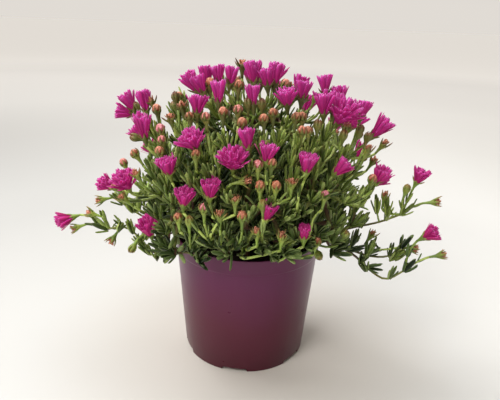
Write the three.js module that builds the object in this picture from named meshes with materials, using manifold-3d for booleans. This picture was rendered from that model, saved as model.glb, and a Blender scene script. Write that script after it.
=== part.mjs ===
// A flowering ice plant in a round plastic nursery pot.
// Millimetres, +Z up. The origin is the centre of the pot's foot, on the surface it stands on.
// The front of the plant looks towards -Y.
import * as THREE from "three";
import { mergeVertices } from "three/addons/utils/BufferGeometryUtils.js";
import Module from "manifold-3d";

const wasm = await Module();
wasm.setup();

// The pot
const POT = {
  height: 103,
  rimRadius: 60,
  footRadius: 51.2,
  wall: 1.1,
  footWall: 2.2,
  collarHeight: 12.5,
  collarStep: 0.6,
  baseRise: 3.2,
  baseThickness: 1.4,
  sides: 28,
};
const NOTCHES = { count: 6, first: 82, width: 20, depth: 16, height: 2.4 };
const DRAINS = { count: 6, first: 30, ring: 33, radius: 4.5, sides: 10 };

// The growing medium, in which each stem stands in a plain hole
const SOIL = { edge: 93, shoulder: 95.1, crown: 96, shoulderReach: 0.55, gap: 0.35, sides: 20 };
const HOLE = { radius: 3, depth: 16, sides: 7 };

// The view in which the flowers' places were measured, a picture of 500 x 400 points
const VIEW = {
  eyeY: -384,
  eyeZ: 266.5,
  pitch: 0.344,
  yaw: 0.002,
  roll: 0.037,
  focal: 500,
  centre: [250, 200],
};

// The mound whose surface the flowers stand on, as half axes about its centre
const MOUND = { centreZ: 150, across: 110, deep: 86, up: 88, down: 82 };

// The stems all fan out from one point below the soil, each in its own sector
const HEART = new THREE.Vector3(0, 0, 60);
const TOP_SECTOR = 67.5;
const SECTORS = ["right", "back_right", "back", "back_left", "left", "front_left", "front", "front_right"];
const ROOT_RING = 30;
const FORK = { side: 12, top: 26, outward: 1.1 };

// Stems, branches and stalks
const STEM = { sides: 4, rootSides: 5, root: 2.3, fork: 1.9, tip: 1.5, step: 34, foot: 1.5 };
const STALK = { radius: 0.95, aside: 0.8, back: 1 };
const TRUSS = { reach: 34, most: 4, stalk: 20, lift: 20 };
const BRANCH = { rise: 6, sprawl: 0.5, sprawlBelow: 140, full: 60, forking: 0.5, forked: 40, leafless: 14 };
const OVER_RIM = { out: 2, up: 9 };

// Cups, flowers and buds
const CUP = { length: 10, foot: 1.05, mouth: 3.5, top: 3.3, lip: 1, lobe: 3.6, lobeLean: 0.45 };
const BUD = { shoulder: 3, height: 4.4, turn: 0.2 };
const FLOWER = {
  stretch: 1.1,
  turn: 0.15,
  lowTurn: 0.3,
  lowBelow: 220,
  lowest: 150,
  wideTurn: 0.5,
  wideFrom: 18,
  widest: 32,
  reaches: [0.26, 0.8],
  leastOpen: 0.2,
  fits: [
    [1, 1],
    [0.85, 1],
    [0.7, 1],
    [0.7, 0.8],
    [0.5, 0.8],
    [0.5, 0.65],
    [0.4, 0.5],
  ],
};
const PETALS = {
  sides: 5,
  core: 2.5,
  rise: 2,
  gap: 0.3,
  width: 5.4,
  narrowest: 2.6,
  fanned: 6,
  unevenness: 0.12,
  thickness: 1.1,
  longest: 15,
  shortest: 10,
  innerLean: 0.4,
  innerLength: 0.92,
  innerWidth: 0.75,
};

// Leaves, in bands of two rows round a branch and on shoots that carry no flower
const SHOOT = { lift: 0.4, drop: 6 };
const LEAVES = {
  core: 2.3,
  rise: 2.6,
  length: 16,
  shortest: 0.85,
  longest: 1.15,
  lift: 0.3,
  innerLean: 0.5,
  unevenness: 0.25,
  point: 4,
};
const BANDS = {
  first: 0.2,
  spacing: 14,
  twists: [0, 0.25, -0.25],
  sizes: [1, 0.8, 0.6],
  leans: [0.8, 0.6, 0.4],
};

// How steeply a blade rises from its triangle at least, as a sine
const LEAST_RISE = 0.2;

// The first seed of the blooms' and leaves' unevenness
const FIRST_SEED = 101;

// How clear pieces of different nodes stand
const CLEARANCE = 0.5;

// Joining: the edge lengths below which a surface may be closed up, tried in turn, and how far pieces may
// be nudged

const SHORTEST_EDGES = [0.05, 0.02, 0.005, 0.12];
const NUDGES = [0, 0.01, 0.02, 0.03, 0.04, 0.06, 0.08];
const CLOSE_POINTS = 1e4;

// Open flowers: foot x, foot y, mouth x, mouth y and spread, as points of the picture.
const FLOWERS = [
  // left side
  [149, 231, 147, 220, 25],
  [109, 185, 101, 181, 20],
  [126, 184, 122, 173, 28],
  [131, 106, 125, 93, 16],
  [145, 106, 142, 90, 16],
  [127, 113, 118, 111, 15],
  [144, 133, 142, 115, 22],
  // crest
  [194, 86, 186, 73, 20],
  [201, 88, 196, 78, 15],
  [207, 79, 206, 69, 14],
  [218, 78, 217, 68, 12],
  [231, 79, 233, 68, 13],
  [254, 78, 254, 61, 14],
  [267, 81, 266, 71, 14],
  [275, 79, 276, 62, 17],
  [219, 98, 219, 80, 16],
  [253, 100, 252, 84, 16],
  [287, 100, 286, 89, 24],
  [302, 94, 303, 85, 13],
  [325, 88, 325, 75, 16],
  [198, 108, 199, 98, 18],
  [193, 143, 187, 131, 28],
  [247, 143, 245, 128, 18],
  [233, 163, 234, 148, 32],
  [267, 156, 268, 146, 20],
  [307, 167, 309, 155, 20],
  [168, 169, 166, 160, 22],
  // right side
  [324, 109, 324, 95, 17],
  [340, 98, 338, 87, 12],
  [341, 118, 348, 101, 28],
  [362, 112, 364, 103, 18],
  [376, 133, 389, 120, 20],
  [339, 170, 345, 163, 16],
  [379, 178, 384, 169, 22],
  // low centre
  [210, 192, 211, 181, 22],
  [184, 200, 185, 193, 20],
  [267, 215, 271, 204, 14],
  [304, 234, 304, 225, 10],
];

// Buds on the mound: foot x, foot y, then the direction they face across the picture.
const BUDS = [
  [242, 64, 0, -1],
  [175, 96, -0.2, -1],
  [206, 118, -0.1, -1],
  [273, 114, 0, -1],
  [242, 124, 0, -1],
  [296, 118, 0.1, -1],
  [170, 118, -0.3, -1],
  [196, 155, 0, -1],
  [162, 141, -0.2, -1],
  [134, 137, -1, -0.3],
  [135, 154, -0.7, -1],
  [136, 174, -0.6, -1],
  [116, 187, -0.7, -0.8],
  [132, 249, -0.5, 0.9],
  [178, 218, -0.1, -1],
  [235, 200, 0, -1],
  [246, 181, 1, -0.2],
  [257, 232, 0, -1],
  [282, 237, 0.1, -1],
  [325, 196, 0.2, -1],
  [317, 242, 0.3, -1],
  [319, 256, 0.6, 0.8],
  [345, 234, 0.6, -0.9],
  [372, 180, 0.3, -1],
  [368, 149, 0.4, -1],
  [384, 144, 0.7, -0.8],
];

// Leafy shoots without a flower: the point where the tuft of leaves starts.
const SHOOTS = [
  [170, 250],
  [226, 250],
  [262, 244],
  [288, 250],
  [303, 208],
  [338, 248],
  [160, 226],
  [288, 214],
  [350, 196],
];

// Long shoots that sprawl over the rim: how far they come forward, the points that they pass, the fork
// that ends them, and what stands on it.
const RUNNERS = [
  {
    depth: -17,
    route: [[166, 254], [150, 250], [138, 236], [124, 227]],
    fork: [107, 229],
    flowers: [[68, 219, 58, 223, 20]],
    buds: [[90, 213, -0.9, -0.3], [75, 228, -0.9, 0.3], [112, 240, -0.5, 0.8]],
  },
  {
    depth: -8,
    route: [[172, 234], [156, 224], [139, 214]],
    fork: [122, 203],
    flowers: [],
    buds: [[100, 200, -1, 0.2]],
  },
  {
    depth: -20,
    route: [[330, 232], [355, 227], [379, 222]],
    fork: [402, 214],
    flowers: [[419, 178, 422, 170, 21]],
    buds: [[407, 188, 0.3, -1], [436, 202, 1, -0.1], [385, 196, 0.2, -1]],
  },
  {
    depth: -40,
    route: [[322, 240], [339, 246], [355, 256], [371, 271], [386, 279]],
    fork: [405, 270],
    flowers: [[428, 235, 436, 229, 20]],
    buds: [[445, 255, 1, -0.2]],
  },
  {
    depth: -26,
    route: [[330, 246], [350, 250], [370, 256], [388, 256]],
    fork: [402, 247],
    flowers: [],
    buds: [[414, 249, 1, 0.1], [372, 234, 0.5, -0.8]],
  },
];

// The side away from the picture is filled by a rule: an even spiral over the back of the mound.
const BACK = {
  tips: 31,
  kinds: ["flower", "shoot", "bud", "flower", "shoot"],
  deep: 93,
  base: 126,
  up: 102,
  low: 8,
  high: 78,
  from: 12,
  to: 168,
  outward: 0.6,
  upward: 0.5,
  shootDrop: 10,
  lengths: [11, 14],
  openings: [0.4, 0.8],
};

const UP = new THREE.Vector3(0, 0, 1);
const GOLDEN = 0.618034;
const { degToRad: rad, clamp } = THREE.MathUtils;

const PLUM = new THREE.MeshStandardMaterial({ color: 0x5a1440, roughness: 0.42, metalness: 0 });
const PEAT = new THREE.MeshStandardMaterial({ color: 0x1c1512, roughness: 0.95, metalness: 0 });
const LEAF = new THREE.MeshStandardMaterial({ color: 0x4f6b35, roughness: 0.5, metalness: 0 });
const PETAL = new THREE.MeshStandardMaterial({ color: 0xb0208a, roughness: 0.55, metalness: 0 });

const group = new THREE.Group();

// A number from 0 to 1 that depends only on its seed.
function draw(seed) {
  const wave = Math.sin(seed * 12.9898 + 4.1) * 43758.5453;
  return wave - Math.floor(wave);
}

// A number between two limits that depends only on its seed.
function between(low, high, seed) {
  return low + (high - low) * draw(seed);
}

// Solids

function solidOf(points, faces) {
  const vertProperties = new Float32Array(points.flatMap((point) => point.toArray()));
  const triVerts = new Uint32Array(faces.flat());
  return new wasm.Manifold(new wasm.Mesh({ numProp: 3, vertProperties, triVerts }));
}

function solidOfGeometry(geometry) {
  const bare = geometry.clone();
  bare.deleteAttribute("normal");
  bare.deleteAttribute("uv");
  const merged = mergeVertices(bare, 1e-3);
  const vertProperties = merged.attributes.position.array;
  const triVerts = new Uint32Array(merged.index.array);
  return new wasm.Manifold(new wasm.Mesh({ numProp: 3, vertProperties, triVerts }));
}

// True for one body whose edges have two faces each, also once points that all but meet are taken as one.
function closed(solid) {
  if (solid.decompose().length > 1) return false;
  const { vertProperties, triVerts } = solid.getMesh();
  const names = new Map();
  const name = (i) => {
    const key = [0, 1, 2].map((k) => Math.round(vertProperties[3 * i + k] * CLOSE_POINTS)).join(" ");
    if (!names.has(key)) names.set(key, names.size);
    return names.get(key);
  };
  const edges = new Map();
  for (let i = 0; i < triVerts.length; i += 3) {
    const [a, b, c] = [0, 1, 2].map((k) => name(triVerts[i + k]));
    if (a === b || b === c || c === a) continue;
    for (const [from, to] of [[a, b], [b, c], [c, a]]) {
      const key = from < to ? `${from} ${to}` : `${to} ${from}`;
      edges.set(key, (edges.get(key) ?? 0) + 1);
    }
  }
  return [...edges.values()].every((count) => count === 2);
}

// Joins pieces into one body. A hollow that the join seals is filled, and a loose scrap is dropped.
// The pieces are nudged by a hair where two of their edges would fall on one another.
function fuse(pieces) {
  for (const nudge of NUDGES) {
    const moved = pieces.map((piece, i) => piece.translate([nudge * draw(i), nudge * draw(i + 0.3), 0]));
    const whole = moved.reduce((sum, piece) => sum.add(piece));
    const body = whole.decompose().reduce((best, other) => (other.volume() > best.volume() ? other : best));
    for (const length of SHORTEST_EDGES) {
      const eased = body.simplify(length);
      if (closed(eased)) return eased;
    }
  }
  throw new Error("these pieces don't join into one closed body");
}

function addMesh(name, solid, material) {
  const { vertProperties, triVerts } = solid.getMesh();
  const geometry = new THREE.BufferGeometry();
  geometry.setAttribute("position", new THREE.BufferAttribute(vertProperties, 3));
  geometry.setIndex(new THREE.BufferAttribute(triVerts, 1));
  geometry.computeVertexNormals();
  const mesh = new THREE.Mesh(geometry, material);
  mesh.name = name;
  group.add(mesh);
}

// Turns a profile of [radius, height] points that starts and ends on the axis.
function turned(profile, sides) {
  const points = profile.map(([radius, height]) => new THREE.Vector2(radius, height));
  return solidOfGeometry(new THREE.LatheGeometry(points, sides).rotateX(Math.PI / 2));
}

function upright(radius, bottom, top, x, y, sides) {
  const geometry = new THREE.CylinderGeometry(radius, radius, top - bottom, sides).rotateX(Math.PI / 2);
  return solidOfGeometry(geometry.translate(x, y, (top + bottom) / 2));
}

// A body of few sides through stations, each a ring about a point of its axis. The rings start from the
// side that faces the reference. From the band above a station with blades, one blade rises from each
// triangle: blades(row, i) gives its size, or nothing.
function tower(stations, sides, reference, apex) {
  const points = [];
  const faces = [];
  const frames = stations.map(({ at, along, radius, shift = 0 }) => {
    const across = reference.clone().addScaledVector(along, -reference.dot(along)).normalize();
    const other = along.clone().cross(across);
    const outward = (step) => {
      const turn = (2 * Math.PI * (step + shift)) / sides;
      return across.clone().multiplyScalar(Math.cos(turn)).addScaledVector(other, Math.sin(turn));
    };
    for (let i = 0; i < sides; i += 1) points.push(at.clone().addScaledVector(outward(i), radius));
    return { along, outward };
  });
  for (let band = 0; band < stations.length - 1; band += 1) {
    const { blades } = stations[band];
    const first = band * sides;
    for (let i = 0; i < sides; i += 1) {
      const next = (i + 1) % sides;
      const low = [first + i, first + next, first + sides + i];
      const high = [first + sides + i, first + next, first + sides + next];
      raise(points, faces, low, frames[band], i + 0.5, 1, blades && blades(0, i));
      raise(points, faces, high, frames[band], i + 1, -1, blades && blades(1, i));
    }
  }
  const last = (stations.length - 1) * sides;
  if (apex) points.push(apex);
  for (let i = 0; i < sides; i += 1) {
    if (apex) faces.push([last + i, last + ((i + 1) % sides), points.length - 1]);
    else if (i > 0 && i < sides - 1) faces.push([last, last + i, last + i + 1]);
    if (i > 0 && i < sides - 1) faces.push([0, i + 1, i]);
  }
  return solidOf(points, faces);
}

// Raises one three-sided blade from a triangle of a band, or leaves the triangle plain. A blade with a
// width ends bluntly, and one without runs to a point. Each leads away from the triangle that it stands on.
function raise(points, faces, root, { along, outward }, step, side, blade) {
  if (!blade) {
    faces.push(root);
    return;
  }
  const { lean, length, width, thickness, lift = 0 } = blade;
  const out = outward(step);
  const ahead = out.clone().multiplyScalar(Math.sin(lean)).addScaledVector(along, Math.cos(lean));
  ahead.addScaledVector(UP, lift).normalize();
  const normal = new THREE.Triangle(...root.map((i) => points[i])).getNormal(new THREE.Vector3());
  ahead.addScaledVector(normal, Math.max(0, LEAST_RISE - ahead.dot(normal))).normalize();
  const start = root.reduce((sum, i) => sum.add(points[i]), new THREE.Vector3()).divideScalar(3);
  const tip = start.addScaledVector(ahead, length);
  if (!width) {
    points.push(tip);
    for (let k = 0; k < 3; k += 1) faces.push([root[k], root[(k + 1) % 3], points.length - 1]);
    return;
  }
  const tangent = along.clone().cross(out);
  const behind = tangent.clone().cross(ahead).normalize();
  const flat = tip.clone().addScaledVector(behind, (side * thickness) / 3);
  const left = flat.clone().addScaledVector(tangent, -width / 2);
  const right = flat.clone().addScaledVector(tangent, width / 2);
  const ridge = tip.addScaledVector(behind, (-side * 2 * thickness) / 3);
  const edge = [0, 1, 2].map((k) => points.length + k);
  points.push(...(side > 0 ? [left, right, ridge] : [left, ridge, right]));
  for (let k = 0; k < 3; k += 1) {
    const next = (k + 1) % 3;
    faces.push([root[k], root[next], edge[next]], [root[k], edge[next], edge[k]]);
  }
  faces.push(edge);
}

// Places in the view

const forward = new THREE.Vector3(
  Math.sin(VIEW.yaw) * Math.cos(VIEW.pitch),
  Math.cos(VIEW.yaw) * Math.cos(VIEW.pitch),
  -Math.sin(VIEW.pitch),
);
const levelRight = new THREE.Vector3(Math.cos(VIEW.yaw), -Math.sin(VIEW.yaw), 0);
const levelUp = levelRight.clone().cross(forward);
const viewRight = levelRight.clone().multiplyScalar(Math.cos(VIEW.roll));
viewRight.addScaledVector(levelUp, Math.sin(VIEW.roll));
const viewUp = levelUp.clone().multiplyScalar(Math.cos(VIEW.roll));
viewUp.addScaledVector(levelRight, -Math.sin(VIEW.roll));
const eye = new THREE.Vector3(0, VIEW.eyeY, VIEW.eyeZ);

function sight(x, y) {
  const line = forward.clone().addScaledVector(viewRight, (x - VIEW.centre[0]) / VIEW.focal);
  return line.addScaledVector(viewUp, (VIEW.centre[1] - y) / VIEW.focal);
}

// The point of the view that lies on the plane y = depth.
function atDepth(x, y, depth) {
  const line = sight(x, y);
  return eye.clone().addScaledVector(line, (depth - eye.y) / line.y);
}

// The point of the view that lies on the mound's near side, or nearest to the mound where it is missed.
function onMound(x, y) {
  const line = sight(x, y);
  const high = atDepth(x, y, 0).z > MOUND.centreZ;
  const scale = new THREE.Vector3(1 / MOUND.across, 1 / MOUND.deep, 1 / (high ? MOUND.up : MOUND.down));
  const from = eye.clone().sub(new THREE.Vector3(0, 0, MOUND.centreZ)).multiply(scale);
  const step = line.clone().multiply(scale);
  const middle = -from.dot(step) / step.lengthSq();
  const gap = from.lengthSq() - middle * middle * step.lengthSq();
  const back = gap < 1 ? Math.sqrt((1 - gap) / step.lengthSq()) : 0;
  return eye.clone().addScaledVector(line, middle - back);
}

// Tips: what stands at the end of a stalk

// A direction that runs across and down the picture, and turns towards the viewer by an angle.
function facing(across, down, towards) {
  const flat = viewRight.clone().multiplyScalar(across).addScaledVector(viewUp, -down).normalize();
  return flat.multiplyScalar(Math.cos(towards)).addScaledVector(forward, -Math.sin(towards)).normalize();
}

// Low flowers and wide open ones turn to the viewer more than the crest's do.
function flowerTip([x, y, mouthX, mouthY, spread], depth) {
  const foot = depth === undefined ? onMound(x, y) : atDepth(x, y, depth);
  const scale = VIEW.focal / foot.clone().sub(eye).dot(forward);
  const shown = Math.hypot(mouthX - x, mouthY - y) / scale;
  const length = clamp(shown * FLOWER.stretch, PETALS.shortest, PETALS.longest);
  const low = clamp((FLOWER.lowBelow - foot.z) / (FLOWER.lowBelow - FLOWER.lowest), 0, 1);
  const wide = clamp((spread - FLOWER.wideFrom) / (FLOWER.widest - FLOWER.wideFrom), 0, 1);
  const turn = FLOWER.turn + FLOWER.lowTurn * low + FLOWER.wideTurn * wide;
  const axis = facing(mouthX - x, mouthY - y, turn);
  const reach = clamp((spread / 2 / scale - PETALS.core) / length, ...FLOWER.reaches);
  return { kind: "flower", foot, axis, length, open: Math.asin(reach) };
}

function budTip([x, y, across, down], depth) {
  const foot = depth === undefined ? onMound(x, y) : atDepth(x, y, depth);
  return { kind: "bud", foot, axis: facing(across, down, BUD.turn) };
}

function shootTip([x, y]) {
  const foot = onMound(x, y);
  const axis = foot.clone().sub(HEART).normalize().lerp(UP, SHOOT.lift).normalize();
  return { kind: "shoot", foot: foot.addScaledVector(axis, -SHOOT.drop), axis };
}

// The even spiral over the back of the mound, from its lower edge to its crest.
function backTips() {
  const tips = [];
  for (let i = 0; i < BACK.tips; i += 1) {
    const turn = rad(BACK.from + (BACK.to - BACK.from) * ((i * GOLDEN) % 1));
    const height = (i + 0.5) / BACK.tips;
    const rise = rad(BACK.low + (BACK.high - BACK.low) * height);
    const across = MOUND.across * Math.cos(rise) * Math.cos(turn);
    const deep = BACK.deep * Math.cos(rise) * Math.sin(turn);
    const foot = new THREE.Vector3(across, deep, BACK.base + BACK.up * Math.sin(rise));
    const axis = new THREE.Vector3(Math.cos(turn), Math.sin(turn), 0).multiplyScalar(BACK.outward);
    axis.addScaledVector(UP, BACK.upward + height).normalize();
    const kind = BACK.kinds[i % BACK.kinds.length];
    const length = between(...BACK.lengths, i + 50);
    const open = between(...BACK.openings, i);
    if (kind === "shoot") foot.addScaledVector(axis, -BACK.shootDrop);
    tips.push({ kind, foot, axis, length, open });
  }
  return tips;
}

// Stems

function sectorOf(point) {
  const flat = Math.hypot(point.x, point.y);
  if (Math.atan2(point.z - HEART.z, flat) > rad(TOP_SECTOR)) return "top";
  const turn = Math.round(Math.atan2(point.y, point.x) / rad(45));
  return SECTORS[(turn + SECTORS.length) % SECTORS.length];
}

function soilHeight(radius) {
  const inner = POT.rimRadius - POT.wall;
  return SOIL.crown - (SOIL.crown - SOIL.edge) * (radius / inner) ** 2;
}

// Where a sector's stem leaves the soil, and where it forks.
function rootOf(sector) {
  const turn = rad(45) * SECTORS.indexOf(sector);
  const radius = sector === "top" ? 0 : ROOT_RING;
  const root = new THREE.Vector3(radius * Math.cos(turn), radius * Math.sin(turn), soilHeight(radius));
  const height = root.z + (sector === "top" ? FORK.top : FORK.side);
  const fork = new THREE.Vector3(root.x * FORK.outward, root.y * FORK.outward, height);
  return { root, fork };
}

// Where a tip's stalk ends: at the foot of its cup, or at the shoot itself.
function cupFoot(tip) {
  if (tip.kind === "shoot") return tip.foot.clone();
  return tip.foot.clone().addScaledVector(tip.axis, -CUP.length);
}

// Gathers a sector's tips into trusses of a few that stand close together. A shoot stands alone.
function trussesOf(tips) {
  const trusses = [];
  for (const tip of tips) {
    const foot = cupFoot(tip);
    const near = trusses.find(
      (truss) =>
        tip.kind !== "shoot" &&
        truss.tips[0].kind !== "shoot" &&
        truss.tips.length < TRUSS.most &&
        truss.feet[0].distanceTo(foot) < TRUSS.reach,
    );
    if (near) {
      near.tips.push(tip);
      near.feet.push(foot);
    } else {
      trusses.push({ tips: [tip], feet: [foot] });
    }
  }
  return trusses;
}

// Where a branch ends and its truss's stalks part.
function trussEnd(truss, fork) {
  if (truss.tips[0].kind === "shoot") return truss.tips[0].foot;
  const middle = truss.feet.reduce((sum, foot) => sum.add(foot), new THREE.Vector3());
  middle.divideScalar(truss.feet.length);
  const inward = fork.clone().addScaledVector(UP, TRUSS.lift).sub(middle);
  const length = Math.min(TRUSS.stalk, inward.length() / 2);
  return middle.addScaledVector(inward.normalize(), length);
}

// A branch rises, clears the rim and bends out to its truss.
function branchCurve(start, end) {
  const control = start.clone().lerp(end, 0.5);
  const near = clamp(start.distanceTo(end) / BRANCH.full, 0, 1);
  control.z += near * (BRANCH.rise + BRANCH.sprawl * Math.max(0, BRANCH.sprawlBelow - end.z));
  return new THREE.QuadraticBezierCurve3(start, control, end);
}

// Each branch grows from the fork or from the middle of an earlier branch, whichever is nearer to its end.
function branchesOf(tips, fork) {
  const starts = [fork];
  const branches = [];
  const trusses = trussesOf(tips);
  trusses.sort((a, b) => trussEnd(b, fork).distanceTo(fork) - trussEnd(a, fork).distanceTo(fork));
  for (const truss of trusses) {
    const end = trussEnd(truss, fork);
    const nearer = (best, point) => (point.distanceTo(end) < best.distanceTo(end) ? point : best);
    const start = starts.reduce(nearer);
    const curve = branchCurve(start, end);
    if (start.distanceTo(end) > BRANCH.forked) starts.push(curve.getPointAt(BRANCH.forking));
    branches.push({ tips: truss.tips, curve });
  }
  return branches;
}

// A runner passes over the rim and then through the points of its route.
function runnerBranch(runner, fork) {
  const route = runner.route.map(([x, y]) => atDepth(x, y, runner.depth));
  const overRim = new THREE.Vector3(route[0].x, route[0].y, 0).setLength(POT.rimRadius + OVER_RIM.out);
  overRim.z = POT.height + OVER_RIM.up;
  const tips = [
    ...runner.flowers.map((row) => flowerTip(row, runner.depth)),
    ...runner.buds.map((row) => budTip(row, runner.depth)),
  ];
  const end = atDepth(...runner.fork, runner.depth);
  return { tips, curve: new THREE.CatmullRomCurve3([fork, overRim, ...route, end]) };
}

// A direction square to a curve, from which the rings of its branch are turned.
function sideOf(curve) {
  const start = curve.getTangentAt(0);
  const side = start.clone().cross(curve.getTangentAt(1));
  return side.length() > 0.02 ? side.normalize() : start.cross(new THREE.Vector3(0.6, 0.8, 0)).normalize();
}

// The two stations of a band of leaves on a branch.
function bandStations(curve, { part, shift, blades }) {
  const over = Math.min(part + LEAVES.rise / curve.getLength(), 1);
  const radius = LEAVES.core;
  const neck = radius * Math.cos(Math.PI / STEM.sides);
  return [
    { at: curve.getPointAt(part), along: curve.getTangentAt(part), radius, shift, blades },
    { at: curve.getPointAt(over), along: curve.getTangentAt(over), radius: neck, shift: shift + 0.5 },
  ];
}

// The green cup of a flower or bud, from its foot to its mouth. A bud's closed petals dome over it.
function cupStations(tip, shift) {
  const foot = cupFoot(tip);
  const ringAt = (height, radius, more) => ({
    at: foot.clone().addScaledVector(tip.axis, height),
    along: tip.axis,
    radius,
    shift,
    ...more,
  });
  const stations = [
    ringAt(0, CUP.foot),
    ringAt(CUP.length - CUP.lip, CUP.mouth),
    ringAt(CUP.length, CUP.top),
  ];
  if (tip.kind === "flower") return stations;
  stations[1].blades = (row) => (row === 0 ? { lean: CUP.lobeLean, length: CUP.lobe } : null);
  stations[2].shift += 0.5;
  stations.push(ringAt(CUP.length + BUD.height / 2, BUD.shoulder, { shift: shift + 0.5 }));
  return stations;
}

function budTop(tip) {
  return tip.kind === "bud" ? tip.foot.clone().addScaledVector(tip.axis, BUD.height) : null;
}

// A branch with its bands of leaves, which runs on into the stalk and cup of its leading tip.
function branchSolid({ curve, lead }, bands) {
  const length = curve.getLength();
  const stations = [];
  let here = 0;
  let shift = 0;
  for (const band of [...bands, { part: 1 }]) {
    const steps = Math.round(((band.part - here) * length) / STEM.step + 0.4);
    for (let i = stations.length ? 1 : 0; i < steps; i += 1) {
      const part = here + ((band.part - here) * i) / steps;
      const radius = STEM.fork + (STEM.tip - STEM.fork) * part;
      stations.push({ at: curve.getPointAt(part), along: curve.getTangentAt(part), radius, shift });
    }
    if (band.blades) {
      stations.push(...bandStations(curve, band));
      here = band.part + LEAVES.rise / length;
      shift = band.shift + 0.5;
    } else if (here < 1 - 1 / length) {
      stations.push({ at: curve.getPointAt(1), along: curve.getTangentAt(1), radius: STEM.tip, shift });
    }
  }
  if (!lead) {
    const point = curve.getPointAt(1).addScaledVector(UP, LEAVES.point);
    return tower(stations, STEM.sides, sideOf(curve), point);
  }
  stations.push(...cupStations(lead, shift));
  return tower(stations, STEM.sides, sideOf(curve), budTop(lead));
}

// The outer row of a band leans out fully and the inner one half as much.
function leafBlades(own, size, lean, swell) {
  return (row, i) => ({
    lean: lean * (row === 0 ? 1 : LEAVES.innerLean) + LEAVES.unevenness * (draw(own + i + row * 9) - 0.5),
    length: LEAVES.length * size * between(LEAVES.shortest, LEAVES.longest, own + i * 4 + row) + swell,
    lift: LEAVES.lift,
  });
}

// The stalk of each further tip leaves the branch's end at the side.
function sideStalk(curve, tip) {
  const end = curve.getPointAt(1);
  const along = curve.getTangentAt(1);
  const course = cupFoot(tip).sub(end).normalize();
  const sideways = course.clone().addScaledVector(along, -course.dot(along));
  const start = end.clone().addScaledVector(sideways, STALK.aside).addScaledVector(along, -STALK.back);
  const side = course.clone().cross(tip.axis);
  const reference = side.length() > 0.02 ? side.normalize() : sideOf(curve);
  const stations = [{ at: start, along: course, radius: STALK.radius }, ...cupStations(tip, 0)];
  return tower(stations, STEM.sides, reference, budTop(tip));
}

// Two rows of petals on a small core that sits on the cup.
function bloom(tip, twist, swell) {
  const width = Math.min(PETALS.width, PETALS.narrowest + PETALS.fanned * Math.sin(tip.open));
  const uneven = (row, i) => PETALS.unevenness * (draw(i + twist * 7 + row * 5) - 0.5);
  const blades = (row, i) => ({
    lean: tip.open * (row === 0 ? 1 : PETALS.innerLean) + uneven(row, i),
    length: tip.length * (row === 0 ? 1 : PETALS.innerLength) + swell,
    width: width * (row === 0 ? 1 : PETALS.innerWidth) + swell,
    thickness: PETALS.thickness + swell,
  });
  const seat = tip.foot.clone().addScaledVector(tip.axis, PETALS.gap);
  const top = seat.clone().addScaledVector(tip.axis, PETALS.rise);
  const neck = PETALS.core * Math.cos(Math.PI / PETALS.sides);
  const reference = tip.axis.clone().cross(new THREE.Vector3(0.8, 0.6, 0)).normalize();
  const stations = [
    { at: seat, along: tip.axis, radius: PETALS.core, shift: twist, blades },
    { at: top, along: tip.axis, radius: neck, shift: twist + 0.5 },
  ];
  return tower(stations, PETALS.sides, reference);
}

// Pot and soil

const collarFoot = POT.height - POT.collarHeight;
const potFloor = POT.baseRise + POT.baseThickness;

// The radius of the pot's outside below its collar.
function potSide(z) {
  return POT.footRadius + ((POT.rimRadius - POT.collarStep - POT.footRadius) * z) / POT.height;
}

function pot() {
  const { height, rimRadius, footRadius, wall, footWall, baseRise, collarStep, sides } = POT;
  let whole = turned(
    [
      [0, baseRise],
      [footRadius - footWall, baseRise],
      [footRadius - footWall, 0],
      [footRadius, 0],
      [potSide(collarFoot), collarFoot],
      [potSide(collarFoot) + collarStep, collarFoot + 1],
      [rimRadius, height],
      [rimRadius - wall, height],
      [potSide(collarFoot) + collarStep - wall, collarFoot],
      [potSide(collarFoot) - wall, collarFoot - 1],
      [potSide(potFloor) - wall, potFloor],
      [0, potFloor],
    ],
    sides,
  );
  for (let i = 0; i < NOTCHES.count; i += 1) {
    const notch = new THREE.BoxGeometry(NOTCHES.depth, NOTCHES.width, 2 * NOTCHES.height);
    notch.translate(footRadius, 0, 0).rotateZ(rad(NOTCHES.first + (360 * i) / NOTCHES.count));
    whole = whole.subtract(solidOfGeometry(notch));
  }
  for (let i = 0; i < DRAINS.count; i += 1) {
    const turn = rad(DRAINS.first + (360 * i) / DRAINS.count);
    const place = [DRAINS.ring * Math.cos(turn), DRAINS.ring * Math.sin(turn)];
    whole = whole.subtract(upright(DRAINS.radius, 0, 2 * potFloor, ...place, DRAINS.sides));
  }
  return whole;
}

function soil(roots) {
  const inner = (z) => potSide(z) - POT.wall - SOIL.gap;
  const floor = potFloor + SOIL.gap;
  let whole = turned(
    [
      [0, floor],
      [inner(floor), floor],
      [inner(SOIL.edge), SOIL.edge],
      [inner(SOIL.edge) * SOIL.shoulderReach, SOIL.shoulder],
      [0, SOIL.crown],
    ],
    SOIL.sides,
  );
  for (const root of roots) {
    const hole = upright(HOLE.radius, root.z - HOLE.depth, SOIL.crown + 5, root.x, root.y, HOLE.sides);
    whole = whole.subtract(hole);
  }
  return whole;
}

// Building

let seed = FIRST_SEED;

function newSeed() {
  seed += 1;
  return seed;
}

// The tip that goes on most nearly in line with its branch.
function leadOf(curve, tips) {
  const end = curve.getPointAt(1);
  const along = curve.getTangentAt(1);
  const inLine = (tip) => cupFoot(tip).sub(end).normalize().dot(along);
  return tips.reduce((best, tip) => (best && inLine(best) > inLine(tip) ? best : tip), null);
}

// Every tip, by the sector whose stem carries it.
function tipsBySector() {
  const sorted = Object.fromEntries([...SECTORS, "top"].map((sector) => [sector, []]));
  const front = [
    ...FLOWERS.map((row) => flowerTip(row)),
    ...BUDS.map((row) => budTip(row)),
    ...SHOOTS.map((row) => shootTip(row)),
  ];
  for (const tip of [...front, ...backTips()]) sorted[sectorOf(cupFoot(tip))].push(tip);
  return sorted;
}

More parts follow.
